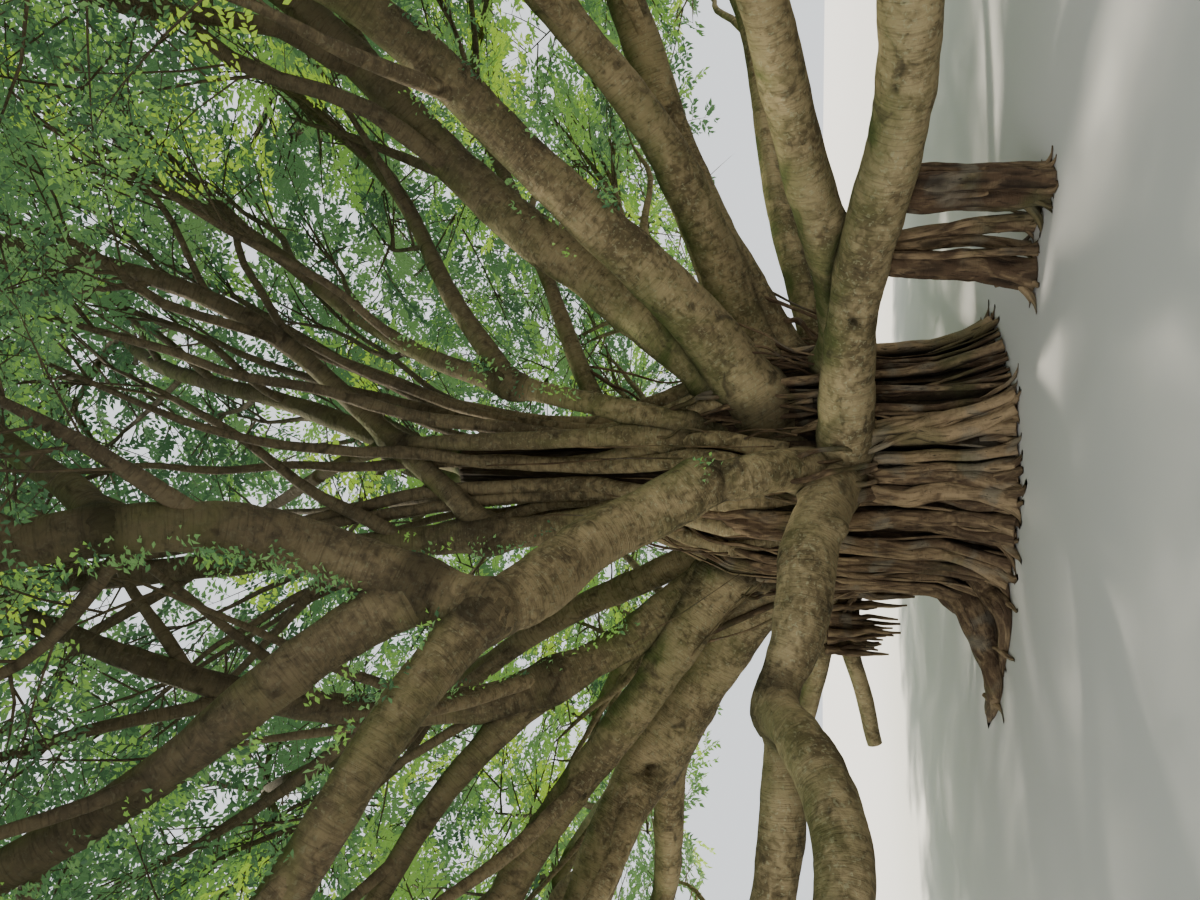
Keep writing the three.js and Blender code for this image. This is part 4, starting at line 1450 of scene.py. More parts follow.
@dataclass
class HangingRoots:
    """Thin roots: the dark fringe on the left, ropes, and roots that knit the boughs to the trunk."""

    bark: Material
    # How many roots the fringe has, and how many go down from each bough
    fringe: int = 48
    knitting: int = 5
    # The head, foot and thickness of each rope
    ropes: tuple = (
        ((-2.24, -0.42, 3.02), (-1.02, -0.5, 2.0), 0.014),
        ((-2.05, -0.4, 2.95), (-0.98, -0.45, 1.9), 0.01),
        ((-1.75, -0.45, 3.3), (-0.9, -0.62, 2.1), 0.009),
        ((0.02, -0.62, 4.7), (0.12, -1.0, 1.95), 0.016),
        ((0.22, -0.7, 4.1), (0.2, -1.02, 1.8), 0.012),
        ((-0.42, -0.7, 3.9), (-0.35, -1.0, 1.9), 0.011),
        ((0.62, -0.82, 2.45), (0.68, -1.0, 0.0), 0.045),
        ((0.9, -0.5, 2.5), (0.87, -0.72, 0.0), 0.06),
    )

    def add_rope(self, sheaf: Sheaf, head: Array, foot: Array, ends: tuple, slack: float, seed: int) -> None:
        """One root from head to foot, with noisy bends and a little sag between them.

        Args:
            sheaf: the mesh it joins.
            head: where it starts.
            foot: where it ends.
            ends: its thickness at its head and at its foot.
            slack: how far it bends, metres.
            seed: its own bends.
        """
        t = np.linspace(0, 1, 30)
        line = seeded_line(t * 3.4, seed * 3.7)
        bends = np.stack([lattice(line, 91), lattice(line, 92), 0.3 * lattice(line, 93)], -1)
        path = head + (foot - head) * t[:, None] + slack * bends * np.sin(math.pi * t)[:, None]
        half = (ends[0] + (ends[1] - ends[0]) * t) / 2 * (1 + 0.2 * lattice(line * 3, 94))
        grid, _ = tube(path, half, 7, np.array([0.9, 0.3, 0.1]))
        run = t * float(np.linalg.norm(foot - head))
        # Painted shade: every hanging root a little darker all over
        sheaf.add_grid(grid, ends[0] * 3, run, hollow=0.2, tone=0.1 + 0.6 * chance(seed, 95))

    def add_fringe(self, sheaf: Sheaf) -> None:
        """Blunt tapering roots that hang free at the trunk's left, longest by the trunk.

        Args:
            sheaf: the mesh they join.
        """
        bough = LIMB_BY_NAME["left_low_bough"]
        for seed in range(self.fringe):
            across = chance(seed, 96)
            head = along_path(bough.path, 0.035 + 0.135 * across)
            head = head + np.array([0.0, -0.2 + 0.3 * chance(seed, 97), -0.05])
            drop = (0.35 + 0.55 * chance(seed, 99)) * (1 - 0.35 * across)
            foot = head + np.array([0.1 * (chance(seed, 100) - 0.35), 0.0, -drop])
            thick = 0.075 + 0.075 * chance(seed, 101)
            self.add_rope(sheaf, head, foot, (thick, 0.02), 0.03, 4 * seed)

    def add_knitting(self, sheaf: Sheaf) -> None:
        """From under each bough's inner part, roots go down to the trunk's skin.

        Args:
            sheaf: the mesh they join.
        """
        for grown in LIMB_BY_NAME.values():
            if grown.limb.forked or grown.limb.name.startswith("low_"):
                continue
            for k in range(self.knitting):
                seed = 60 + 8 * grown.index + k
                part = (0.25 + 0.85 * chance(seed, 102)) / grown.limb.length
                half = float(grown.radius(part))
                middle = along_path(grown.path, part)
                way = unit(along_path(grown.path, part + 0.03) - middle)
                side = unit(np.cross(way, UP)) * (chance(seed, 103) - 0.5) * 1.5
                head = middle + half * (side - UP * math.sqrt(1 - 0.55 * side.dot(side))) * 0.8
                bearing = math.degrees(math.atan2(head[1], head[0])) + 16 * (chance(seed, 104) - 0.5)
                z = max(1.0, head[2] - 0.5 - 1.1 * chance(seed, 105))
                foot = direction(bearing, 0) * float(TRUNK.radius(z)) + UP * z
                thick = 0.018 + 0.04 * chance(seed, 106) ** 2
                self.add_rope(sheaf, head, foot, (thick * 1.2, thick * 0.8), 0.09, seed)

    def build(self) -> None:
        """Makes the fringe, the ropes and the knitting as one piece, which is trim beside the solids."""
        sheaf = Sheaf()
        self.add_fringe(sheaf)
        for seed, (head, foot, thick) in enumerate(self.ropes):
            self.add_rope(sheaf, np.array(head), np.array(foot), (thick, thick), 0.04, 40 + seed)
        self.add_knitting(sheaf)
        sheaf.finish("hanging_roots", [self.bark], "trunk_bark", [])


# The crown


@dataclass(frozen=True)
class Branch:
    """A branch: points along it, its radius at the foot, and how far apart its leafy sprays stand."""

    path: Array
    radius: float
    seed: int
    bare: float = 0.25
    spacing: float = 0.28

    def length(self) -> float:
        """How long it is, straight from point to point."""
        return float(np.linalg.norm(np.diff(self.path, axis=0), axis=1).sum())

    def way(self, part: float) -> Array:
        """Where it heads at a fraction of its length."""
        return way_at(self.path, part, 0.04)


@dataclass(frozen=True)
class Tuft:
    """Small leaves straight from a limb's skin: from and to along it, a turn about it, and how many."""

    limb: str
    first: float
    last: float
    tilt: float
    leaves: int


TUFTS = [
    Tuft("front_riser", 0.93, 1.0, 35, 90),
    Tuft("front_top_limb", 0.12, 0.7, -62, 520),
    Tuft("front_left_limb", 0.05, 0.5, 70, 260),
    Tuft("front_crown_limb", 0.1, 0.8, -70, 420),
    Tuft("centre_left_bough", 0.2, 0.6, -30, 420),
    Tuft("left_steep_bough", 0.2, 0.7, 50, 320),
    Tuft("inner_right_bough", 0.25, 0.6, 30, 260),
    Tuft("right_steep_bough", 0.15, 0.6, 70, 300),
    Tuft("right_rising_bough", 0.3, 0.8, 75, 260),
]


@dataclass(frozen=True)
class Twigs:
    """The twigs of n sprays: the main one's points, each side one's foot, tip and way, and the way up."""

    main: Array
    feet: Array
    tips: Array
    ways: Array
    flat: Array


@dataclass
class Crown:
    """Branches, twigs and leaves, grown on from the limbs by the rule of the part's source."""

    bark: Material
    # The source of what is drawn at random for the twigs and leaves
    chances: np.random.Generator = field(default_factory=lambda: np.random.default_rng(5))
    # The dome, its lower edge, and the bare cone inside it
    half_width: float = 10.0
    half_depth: float = 9.7
    top: float = 13.0
    waist: float = 4.6
    skirt: float = 3.0
    hollow_peak: float = 10.5
    hollow_slope: float = 1.04
    # A mass's branches: how many, where on its stem, how they lean, and how far they may reach
    branches: int = 5
    first: float = 0.3
    last: float = 0.98
    tilt: float = 62
    end_tilt: float = 5
    flattening: float = 0.75
    branch_lift: float = 0.08
    reaches: tuple = (1.9, 1.45, 1.05, 0.7)
    cell_clearance: float = 0.015
    limb_clearance: float = 0.025
    stem_beyond: float = 0.45
    stem_bend: float = 0.4
    # Sprays: how they lean from their branch, droop, and turn aside to stay in the crown
    spray_side_tilt: float = 58
    spray_end_tilt: float = 22
    spray_flattening: float = 0.6
    spray_droop: float = 0.1
    spray_turns: tuple = (0, 35, -35, 70, -70, 110, -110)
    spray_length: float = 1.2
    side_twigs: int = 9
    leaves_on_twig: int = 12
    leaf_length: float = 0.119
    leaf_width: float = 0.06
    # Where on its twig the first leaf stands, and on its spray the first twig
    leaf_start: float = 0.12
    # Offshoots of a limb, how far apart a branch's shoots stand, and the slim risers
    offshoots: int = 5
    shoot_spacing: float = 0.5
    risers: int = 20
    # How many sprays fit in a cube of the crown, and from what height fewer
    crowd_cell: float = 1.1
    crowd: int = 4
    high_crowd: int = 3
    high: float = 7.7
    furthest_reach: float = 3.0
    # The view from the standing place stays open this far, below this slope, and leaves shrink in it
    open_space: float = 5.0
    view_slope: float = 1.08
    least_leaf: float = 0.42
    shrinking: tuple = (4.6, 12.5)
    # The height that parts the high leaves from the low
    middle: float = 6.6
    # Limbs that end without a stem of their own
    ended: tuple = ("low_left_bough", "low_right_bough", "front_riser", "front_bough", "left_stub")

    def inside(self, points: Array, spare: float = 1.0) -> Array:
        """Whether points lie within the dome: across^2 + above^2 < spare, and above the skirt."""
        x, y, z = np.moveaxis(np.asarray(points), -1, 0)
        above = np.maximum(0, z - self.waist) / (self.top - self.waist)
        across = (x / self.half_width) ** 2 + (y / self.half_depth) ** 2
        return (z > self.skirt) & (across + above**2 < spare)

    def over_hollow(self, points: Array, spare: float = 0.0) -> Array:
        """Whether points lie above the bare cone round the trunk, lowered by spare."""
        x, y, z = np.moveaxis(np.asarray(points), -1, 0)
        return z > self.hollow_peak - self.hollow_slope * np.hypot(x, y) - spare

    def too_near(self, points: Array, spare: float = 0.0) -> Array:
        """Whether points lie in the view's open space, or within spare metres of it."""
        away = points - EYE
        low = away[..., 2] < self.view_slope * away[..., 1] + spare
        return low & (np.linalg.norm(away, axis=-1) < self.open_space + spare)

    def in_cell(self, point: Array, mass: Mass) -> bool:
        """Whether a point is nearer to its own mass's middle than to any other's.

        Args:
            point: (3,).
            mass: its own mass.

        Returns:
            False also for a point on or just inside the plane half way to another.
        """
        mine = np.array(mass.centre)
        theirs = np.array([other.centre for other in MASSES if other.name != mass.name])
        margin = ((point - theirs) ** 2).sum(1) - ((point - mine) ** 2).sum()
        return bool((margin / (2 * np.linalg.norm(mine - theirs, axis=1)) > self.cell_clearance).all())

    def stem_path(self, mass: Mass) -> Array:
        """A mass's stem: (1 - t)^2 tip + 2 t (1 - t) bend + t^2 end, which lies past the middle.

        Args:
            mass: what it carries.

        Returns:
            (n, 3), from its limb's tip.
        """
        tip, heading = LIMB_BY_NAME[mass.carrier].end()
        centre = np.array(mass.centre)
        bend = tip + heading * self.stem_bend * np.linalg.norm(centre - tip)
        end = centre + self.stem_beyond * (centre - tip)
        t = np.linspace(0, 1, PATH_STEPS + 1)[:, None]
        return (1 - t) ** 2 * tip + 2 * t * (1 - t) * bend + t**2 * end

    def branch_end(self, mass: Mass, start: Array, heading: Array) -> Array | None:
        """The furthest end that stays in the crown and the mass's space, and clear of limbs.

        Args:
            mass: whose branch it is.
            start: where it starts.
            heading: where it heads.

        Returns:
            The end, or none if every reach is barred.
        """
        for reach in self.reaches:
            end = start + heading * reach
            if not self.inside(end) or not self.in_cell(end, mass):
                continue
            rod = start + (end - start) * np.linspace(0, 1, 12)[:, None]
            if gap_to_limbs(rod).min() > 0.045 + self.limb_clearance:
                return end
        return None

    def wandering(self, start: Array, heading: Array, reach: float, rise: float, seed: int) -> Array:
        """Points along a branch: start + heading r t + up r rise t^2, with small noisy bends between.

        Args:
            start: where it starts.
            heading: where it heads.
            reach: r in the formula, metres.
            rise: how much it turns up.
            seed: its own bends.

        Returns:
            (13, 3).
        """
        t = np.linspace(0, 1, 13)
        line = seeded_line(t * reach * 1.1, seed * 1.7)
        wander = np.stack([lattice(line, 111), lattice(line, 112), lattice(line, 113)], -1)
        bends = 0.055 * reach * wander * np.sin(math.pi * t)[:, None]
        return start + heading * (reach * t)[:, None] + UP * (reach * rise * t * t)[:, None] + bends

    def branches_of(self, mass: Mass, index: int) -> list[Branch]:
        """A mass's branches by the source's rule, round its stem by the golden angle.

        Args:
            mass: whose they are.
            index: its place in the table.

        Returns:
            Those that fit.
        """
        stem = self.stem_path(mass)
        found = []
        along = unit(stem[-1] - along_path(stem, self.first))
        square = unit(np.cross(along, UP))
        for b in range(self.branches + 1):
            part = self.first + (1 - self.first) * b / self.branches
            start = along_path(stem, min(part, self.last))
            tilt = self.end_tilt if b == self.branches else self.tilt
            heading = turned(along, square, math.radians(tilt))
            heading = turned(heading, along, GOLDEN_ANGLE * b + 2 * math.pi * chance(index, 6))
            heading[2] = self.flattening * heading[2] + self.branch_lift
            heading = unit(heading)
            end = self.branch_end(mass, start, heading)
            if end is not None:
                seed = 300 + 10 * index + b
                path = self.wandering(start, heading, float(np.linalg.norm(end - start)), 0.0, seed)
                found.append(Branch(path, 0.038, seed, 0.2))
        return found

    def offshoots_of(self, grown: GrownLimb) -> list[Branch]:
        """Slender boughs that fork from a limb's outer part at 24 to 46 degrees and turn up.

        Args:
            grown: the limb; one of the back boughs, or one that ends behind, has more of them.

        Returns:
            Those that fit, each as long as it can be.
        """
        found = []
        extra = 5 if grown.limb.name.startswith("back") else 2 if grown.path[-1, 1] > -2.5 else 0
        count = self.offshoots + extra
        for k in range(count):
            part = 0.36 + 0.58 * (k + 0.6 * chance(grown.index, k, 71)) / count
            start = along_path(grown.path, part)
            way = way_at(grown.path, part, 0.03)
            fork = math.radians(24 + 22 * chance(grown.index, k, 72))
            roll = math.radians((70 + 50 * chance(grown.index, k, 73)) * (1 if k % 2 else -1))
            square = turned(unit(np.cross(np.cross(way, UP), way)), way, roll)
            heading = way * math.cos(fork) + square * math.sin(fork)
            seed = 900 + 10 * grown.index + k
            for share in (1.0, 0.75, 0.55):
                reach = share * grown.limb.length * (0.34 + 0.2 * chance(grown.index, k, 74))
                path = self.wandering(start, heading, reach, 0.2, seed)
                clear = gap_to_limbs(path[5:], grown.limb.name).min() > 0.07
                if clear and self.inside(path[-1], 0.93) and self.over_hollow(path[-1], 1.2):
                    radius = float(grown.radius(part)) * (0.3 + 0.22 * share * chance(grown.index, k, 75))
                    found.append(Branch(path, max(0.022, radius), seed, 0.35))
                    break
        return found

    def shoots_of(self, parents: list[Branch]) -> list[Branch]:
        """Finer shoots along branches, alternately to each side.

        Args:
            parents: the branches.

        Returns:
            Those that are clear of limbs and in the crown.
        """
        found = []
        for parent in parents:
            length = parent.length()
            spacing = self.shoot_spacing * (0.7 if parent.path[-1, 1] > 0 else 1.0)
            count = int(length * (1 - parent.bare) / spacing)
            for k in range(count):
                seed = parent.seed * 20 + k
                part = parent.bare + (1 - parent.bare) * (k + 0.3 + 0.5 * chance(seed, 76)) / count
                side = math.radians((42 + 26 * chance(seed, 77)) * (1 if k % 2 else -1))
                heading = turned(parent.way(part), UP, side)
                heading[2] = 0.6 * heading[2] + 0.9 * (chance(seed, 78) - 0.42)
                reach = (0.75 + 0.75 * chance(seed, 79)) * (1.15 - 0.4 * part)
                path = self.wandering(along_path(parent.path, part), unit(heading), reach, 0.1, seed)
                found.append(Branch(path, 0.016, seed, 0.1, 0.26))
        ends = np.array([branch.path[-1] for branch in found])
        bodies = np.array([branch.path[4:] for branch in found])
        clear = gap_to_limbs(bodies.reshape(-1, 3)).reshape(len(found), -1).min(1) > 0.05
        fits = clear & self.inside(ends, 0.94) & self.over_hollow(ends, 0.3)
        return [branch for branch, fit in zip(found, fits) if fit]

    def stems(self) -> list[Branch]:
        """The stems that go on from the limbs' tips, into masses or out to a point of their own.

        Returns:
            The masses' stems first.
        """
        found = []
        parts = np.linspace(0, 1, 44)
        for index, mass in enumerate(MASSES):
            carrier = LIMB_BY_NAME[mass.carrier]
            path = refined(self.stem_path(mass), parts)
            path[0] -= carrier.end()[1] * 0.05
            found.append(Branch(path, carrier.limb.thin / 2 * 0.97, 200 + index, 0.2, 0.42))
        carriers = {mass.carrier for mass in MASSES}
        for name, grown in LIMB_BY_NAME.items():
            if name not in carriers and name not in self.ended:
                longer = GrownLimb(grown.limb, grown.index, grown.path[0], PATH_STEPS + 9)
                path = refined(longer.path[PATH_STEPS - 1 :], parts)
                found.append(Branch(path, grown.limb.thin / 2 * 0.97, 240 + grown.index, 0.3, 0.42))
        return found

    def risers_of(self) -> list[Branch]:
        """Slender risers that climb the trunk's cone, leave it above 3.2 m, and spread into the crown.

        Returns:
            The risers, evenly round the trunk.
        """
        found = []
        t = np.linspace(0, 1, 64)
        for i in range(self.risers):
            top = 7.4 + 2.6 * chance(i, 141)
            z = 1.5 + 0.5 * chance(i, 142) + (top - 1.8) * t
            line = seeded_line(z * 0.8, i * 6.1)
            bearing = 360 * (i + 0.7 * (chance(i, 143) - 0.5)) / self.risers
            bearing = bearing + 60 * (chance(i, 144) - 0.5) * t**2 + 6 * rough(line, 1.0, 145, 2)
            spread = (0.9 + 2.3 * chance(i, 146)) * np.clip((z - 3.2) / (top - 3.2), 0, 1) ** 1.5
            out = TRUNK.radius(z) * (0.8 + 0.16 * eased(t, 0.0, 0.12)) + spread
            out = out + 0.03 * rough(line, 0.7, 147, 2)
            path = direction(bearing, 0) * out[:, None] + UP * z[:, None]
            found.append(Branch(path, 0.045 + 0.045 * chance(i, 148), 3000 + i, 0.6, 0.4))
        return found

    def sprays(self, branches: list[Branch]) -> tuple[Array, Array, Array]:
        """Every spray's start, heading and length, alternately to each side of its branch and at its end.

        The crown is dealt with in cubes, and a cube that has its share of sprays gets no more.

        Args:
            branches: what they grow on.

        Returns:
            (n, 3), (n, 3) and (n,).
        """
        starts, headings, lengths = [], [], []
        crowd: dict[tuple, int] = {}
        for branch in branches:
            count = max(2, int(branch.length() * (1 - branch.bare) / branch.spacing) + 1)
            for s in range(count):
                last = s == count - 1
                part = 0.97 if last else branch.bare + (1 - branch.bare) * (s + 0.3) / count
                side = self.spray_end_tilt if last else self.spray_side_tilt
                side = side * (1 if s % 2 else -1) + 26 * (chance(branch.seed, s, 81) - 0.5)
                length = self.spray_length * (0.75 + 0.45 * chance(branch.seed, s, 82))
                heading = turned(branch.way(part), UP, math.radians(side))
                heading[2] = self.spray_flattening * heading[2] - self.spray_droop
                heading[2] += 0.5 * (chance(branch.seed, s, 83) - 0.5)
                start = along_path(branch.path, part)
                heading = self.fitted(start, unit(heading), 0.75 * length)
                if heading is None or self.too_near(start + heading * length, 0.3):
                    continue
                cell = tuple(np.floor((start + heading * length / 2) / self.crowd_cell).astype(int))
                crowd[cell] = crowd.get(cell, 0) + 1
                if crowd[cell] <= (self.high_crowd if start[2] > self.high else self.crowd):
                    starts.append(start)
                    headings.append(heading)
                    lengths.append(length)
        return np.array(starts), np.array(headings), np.array(lengths)

    def reaching_shoots(self, branches: list[Branch]) -> list[Branch]:
        """Shoots that reach into the crown's bare cubes, each from the nearest point of a branch.

        Args:
            branches: what the crown has so far.

        Returns:
            A shoot for each bare cube that has a branch near enough.
        """
        starts, headings, lengths = self.sprays(branches)
        middles = starts + headings * lengths[:, None] / 2
        cells = Counter(tuple(cell) for cell in np.floor(middles / self.crowd_cell).astype(int).tolist())
        taken = {cell for cell, count in cells.items() if count > 1}
        span = np.arange(-10, 13)
        cubes = np.stack(np.meshgrid(span, span, span, indexing="ij"), -1).reshape(-1, 3)
        cubes = cubes[[tuple(cube) not in taken for cube in cubes.tolist()]]
        aims = (cubes + 0.5) * self.crowd_cell
        free = self.inside(aims, 0.9) & self.over_hollow(aims) & (gap_to_limbs(aims) > 0.25)
        free = free & ~self.too_near(aims, 0.6) & (aims[:, 2] < self.high + 0.8)
        joints = np.concatenate([branch.path[3:] for branch in branches])
        found = []
        for seed, aim in enumerate(aims[free], 7000):
            gaps = np.linalg.norm(joints - aim, axis=1)
            start = joints[gaps.argmin()]
            reach = float(gaps.min())
            if 0.3 < reach < self.furthest_reach:
                path = self.wandering(start, (aim - start) / reach, reach + 0.35, 0.0, seed)
                found.append(Branch(path, 0.018, seed, 0.3, 0.3))
        return found

    def fitted(self, start: Array, heading: Array, reach: float) -> Array | None:
        """The first turn of a spray's heading to the side that keeps its end in the crown.

        Args:
            start: where the spray starts.
            heading: where it would head.
            reach: how far out has to be in the crown.

        Returns:
            The new heading, or none if no turn does it.
        """
        turns = np.radians(self.spray_turns)
        ways = turned(np.broadcast_to(heading, (len(turns), 3)), UP, turns)
        ends = start + ways * reach
        fits = self.inside(ends, 0.96) & self.over_hollow(ends, 0.2)
        return ways[np.argmax(fits)] if fits.any() else None

    def build(self) -> None:
        """Makes the stems and branches, the twigs, and the leaves by parts of the crown."""
        stems = [*self.stems(), *self.risers_of()]
        boughs = [branch for index, mass in enumerate(MASSES) for branch in self.branches_of(mass, index)]
        for name, grown in LIMB_BY_NAME.items():
            if name not in self.ended:
                boughs += self.offshoots_of(grown)
        shoots = self.shoots_of([*stems, *boughs])
        shoots += self.reaching_shoots([*stems, *boughs, *shoots])
        self.build_branches(stems, boughs, shoots)
        sprays = self.sprays([*stems, *boughs, *shoots])
        log.info("boughs %d, shoots %d, sprays %d", len(boughs), len(shoots), len(sprays[0]))
        twigs = self.twigs_of(*sprays)
        self.build_twigs(twigs)
        leaves = self.leaves_of(twigs)
        for tuft in TUFTS:
            leaves = [np.concatenate(pair) for pair in zip(leaves, self.tuft_leaves(tuft))]
        self.build_leaves(*leaves)

    def twigs_of(self, starts: Array, headings: Array, lengths: Array) -> Twigs:
        """The twigs of every spray: side ones lean alternately from a main one, shorter towards its end.

        A main twig L long runs as start + L t heading + L t^2 bow.

        Args:
            starts: (n, 3) where sprays start.
            headings: (n, 3) where they head.
            lengths: (n,) how long they are.

        Returns:
            The twigs.
        """
        count = len(starts)
        chances = self.chances
        roll = chances.uniform(-1.0, 1.0, count) * 0.7
        aside = turned(unit(np.cross(headings, UP)), headings, roll)
        flat = np.cross(aside, headings)
        flat = flat * np.where(flat[:, 2:] < 0, -1, 1)
        bow = chances.uniform(-0.16, 0.16, count)[:, None] * aside
        bow = bow + chances.uniform(-0.2, 0.04, count)[:, None] * UP
        k = np.arange(self.side_twigs)
        at = self.leaf_start + (1 - self.leaf_start) * (k + 0.5) / self.side_twigs
        t = np.concatenate([[0, 0.35, 0.7, 1.0], at])[:, None]
        run = lengths[:, None, None] * t
        points = starts[:, None] + run * headings[:, None] + run * t * bow[:, None]
        main, feet = points[:, :4], points[:, 4:]
        sign = np.where(k % 2, 1.0, -1.0)[None, :, None]
        lift = chances.uniform(-0.45, 0.5, (*feet.shape[:2], 1))
        ways = headings[:, None] * 0.62 + sign * aside[:, None] * 0.8 + flat[:, None] * lift
        ways = unit(ways + chances.normal(0, 0.13, feet.shape))
        reach = 0.4 * lengths[:, None] * (1.1 - 0.5 * at) * chances.uniform(0.75, 1.25, feet.shape[:2])
        tips = feet + ways * reach[..., None] - UP * (0.1 * reach)[..., None]
        return Twigs(main, feet, tips, ways, flat)

    def leaves_of(self, twigs: Twigs) -> list[Array]:
        """The leaves along every side twig, alternately to each side and one at its end.

        A leaf's size is shrunk in the open view, by least + (1 - least) x its eased distance.

        Args:
            twigs: what they grow on.

        Returns:
            Their feet, ways, facings, sizes and tints, as build_leaves takes them.
        """
        m = np.arange(self.leaves_on_twig)
        along = (self.leaf_start + (1 - self.leaf_start) * (m + 1) / self.leaves_on_twig)[:, None]
        roots = twigs.feet[:, :, None] * (1 - along) + twigs.tips[:, :, None] * along
        perp = unit(np.cross(twigs.ways, twigs.flat[:, None]))[:, :, None]
        swing = (np.where(m % 2, 1.0, -1.0) * np.where(m == m[-1], 0.2, 1.0))[:, None]
        ways = twigs.ways[:, :, None] * 0.55 + perp * swing * 0.8 - UP * 0.22
        ways = unit(ways + self.chances.normal(0, 0.22, roots.shape))
        facing = twigs.flat[:, None, None] * 0.75 + UP * 0.35 + self.chances.normal(0, 0.34, roots.shape)
        size = self.chances.uniform(0.75, 1.2, roots.shape[:3])
        away = roots - EYE
        above = eased(away[..., 2] - self.view_slope * away[..., 1], 0.0, 1.0)
        grown = eased(np.linalg.norm(away, axis=-1), *self.shrinking)
        size = size * np.maximum(above, self.least_leaf + (1 - self.least_leaf) * grown)
        tint = np.broadcast_to(self.tints(twigs.main[:, 0])[:, None, None], roots.shape[:3])
        fits = self.inside(roots, 0.95) & self.over_hollow(roots, 0.5) & ~self.too_near(roots)
        return [rows[fits] for rows in (roots, ways, facing, size, tint)]

    def tuft_leaves(self, tuft: Tuft) -> tuple[Array, ...]:
        """The small leaves of a tuft, in clumps on short unseen stalks.

        Args:
            tuft: where and how many.

        Returns:
            Their feet, ways, facings, sizes and tints, as build_leaves takes them.
        """
        grown = LIMB_BY_NAME[tuft.limb]
        chances = self.chances
        clump = np.repeat(np.arange(tuft.leaves // 10), 10)
        spots = chances.uniform(tuft.first, tuft.last, clump.max() + 1)
        turns = chances.normal(math.radians(tuft.tilt), 0.35, clump.max() + 1)
        parts = spots[clump] + chances.normal(0, 0.06, len(clump)) / grown.limb.length
        middle = refined(grown.path, parts)
        along = unit(refined(grown.path, parts + 0.01) - refined(grown.path, parts - 0.01))
        face = EYE - middle
        face = unit(face - along * (face * along).sum(-1, keepdims=True))
        face = turned(face, along, turns[clump] + chances.normal(0, 0.16, len(clump)))
        out = grown.radius(parts) + chances.uniform(0.0, 0.09, len(clump))
        ways = unit(face * 0.7 + chances.normal(0, 0.5, middle.shape) - UP * 0.25)
        normals = unit(face * 0.4 + UP * 0.5 + chances.normal(0, 0.4, middle.shape))
        sizes = chances.uniform(0.3, 0.55, len(clump))
        tints = chances.choice([0, 1, 2, 2, 3], clump.max() + 1)[clump]
        return middle + face * out[:, None], ways, normals, sizes, tints

    def tints(self, starts: Array) -> Array:
        """A tint for each spray: sprays ranked by light, and the ranks shared out among the tints.

        Light = noise over 2.6 m + a random part - 0.9 x height share, and less near the standing place.

        Args:
            starts: (n, 3).

        Returns:
            (n,) tint numbers.
        """
        light = 0.45 * rough(starts, 2.6, 131, 2) + self.chances.normal(0, 0.5, len(starts))
        light = light - 0.9 * (starts[:, 2] - self.skirt) / (self.top - self.skirt)
        light = light - 1.2 * (1 - eased(np.linalg.norm(starts - EYE, axis=1), 5.0, 8.0))
        rank = np.argsort(np.argsort(light)) / len(starts)
        bounds = np.cumsum([tint.value[2] for tint in Tint])
        return np.minimum(np.searchsorted(bounds, rank), len(Tint) - 1)

    def build_branches(self, stems: list[Branch], boughs: list[Branch], shoots: list[Branch]) -> None:
        """The stems and boughs as one piece, and the shoots as another.

        Args:
            stems: the thick ones, with more sides.
            boughs: the slender ones.
            shoots: the finest, as rods.
        """
        sheaf = Sheaf()
        for sides, branches in ((14, stems), (9, boughs)):
            for branch in branches:
                self.add_branch(sheaf, branch, sides)
        sheaf.finish("branches", [self.bark], "limb_bark", [])
        sheaf = Sheaf()
        parts = np.array([0, 0.33, 0.66, 1.0])
        paths = np.array([refined(branch.path, parts) for branch in shoots])
        # Painted shade: the shoots a little darker all over
        sheaf.add_rods(paths, np.tile([0.017, 0.013, 0.009], (len(paths), 1)), 4, moss=0.1, hollow=0.1)
        sheaf.finish("shoots", [self.bark], "limb_bark", [])

    def add_branch(self, sheaf: Sheaf, branch: Branch, sides: int) -> None:
        """One round tapering branch with slight lumps: radius r (1 - t)^0.7 + 8 mm.

        Args:
            sheaf: the mesh it joins.
            branch: its path and radius.
            sides: how many sides it has.
        """
        parts = np.linspace(0, 1, len(branch.path))
        half = branch.radius * (1 - parts) ** 0.7 + 0.008
        ring = ring_ways(*carried_sides(branch.path, unit(ASKEW)), sides)
        skin = branch.path[:, None] + half[:, None, None] * ring
        skin = skin + ring * (0.12 * half[:, None] * rough(skin, 0.2, 121, 2))[..., None]
        moss = eased(ring[..., 2], -0.3, 1.0) * 0.4
        sheaf.add_grid(skin, float(half.max()) * 6, run_along(branch.path), moss=moss, hollow=0.0)

    def build_twigs(self, twigs: Twigs) -> None:
        """Every spray's main twig and side twigs, as one piece for each side of the tree.

        Args:
            twigs: all of them; side ones whose tip is outside the crown are left out.
        """
        sides = np.stack([twigs.feet, twigs.tips], 2).reshape(-1, 2, 3)
        sides = sides[self.inside(sides[:, -1], 0.97) & self.over_hollow(sides[:, -1], 0.5)]
        for name, sign in (("twigs_left", -1), ("twigs_right", 1)):
            sheaf = Sheaf()
            mine = twigs.main[twigs.main[:, 0, 0] * sign > 0]
            # Painted shade: the twigs a little darker all over
            sheaf.add_rods(mine, np.tile([0.011, 0.009, 0.006], (len(mine), 1)), 4, moss=0.1, hollow=0.15)
            mine = sides[sides[:, 0, 0] * sign > 0]
            sheaf.add_rods(mine, np.full((len(mine), 1), 0.005), 3, moss=0.1, hollow=0.15)
            nodes = [mass.name for mass in MASSES if mass.centre[0] * sign > 0 or mass.centre[0] == 0]
            sheaf.finish(name, [self.bark], "foliage", nodes)

    def part_of(self, points: Array) -> Array:
        """Which of the crown's eight parts points lie in: the quarter from +X round, plus 4 if high."""
        quarter = np.floor(np.degrees(np.arctan2(points[..., 1], points[..., 0])) / 90).astype(int) % 4
        return quarter + 4 * (points[..., 2] > self.middle)

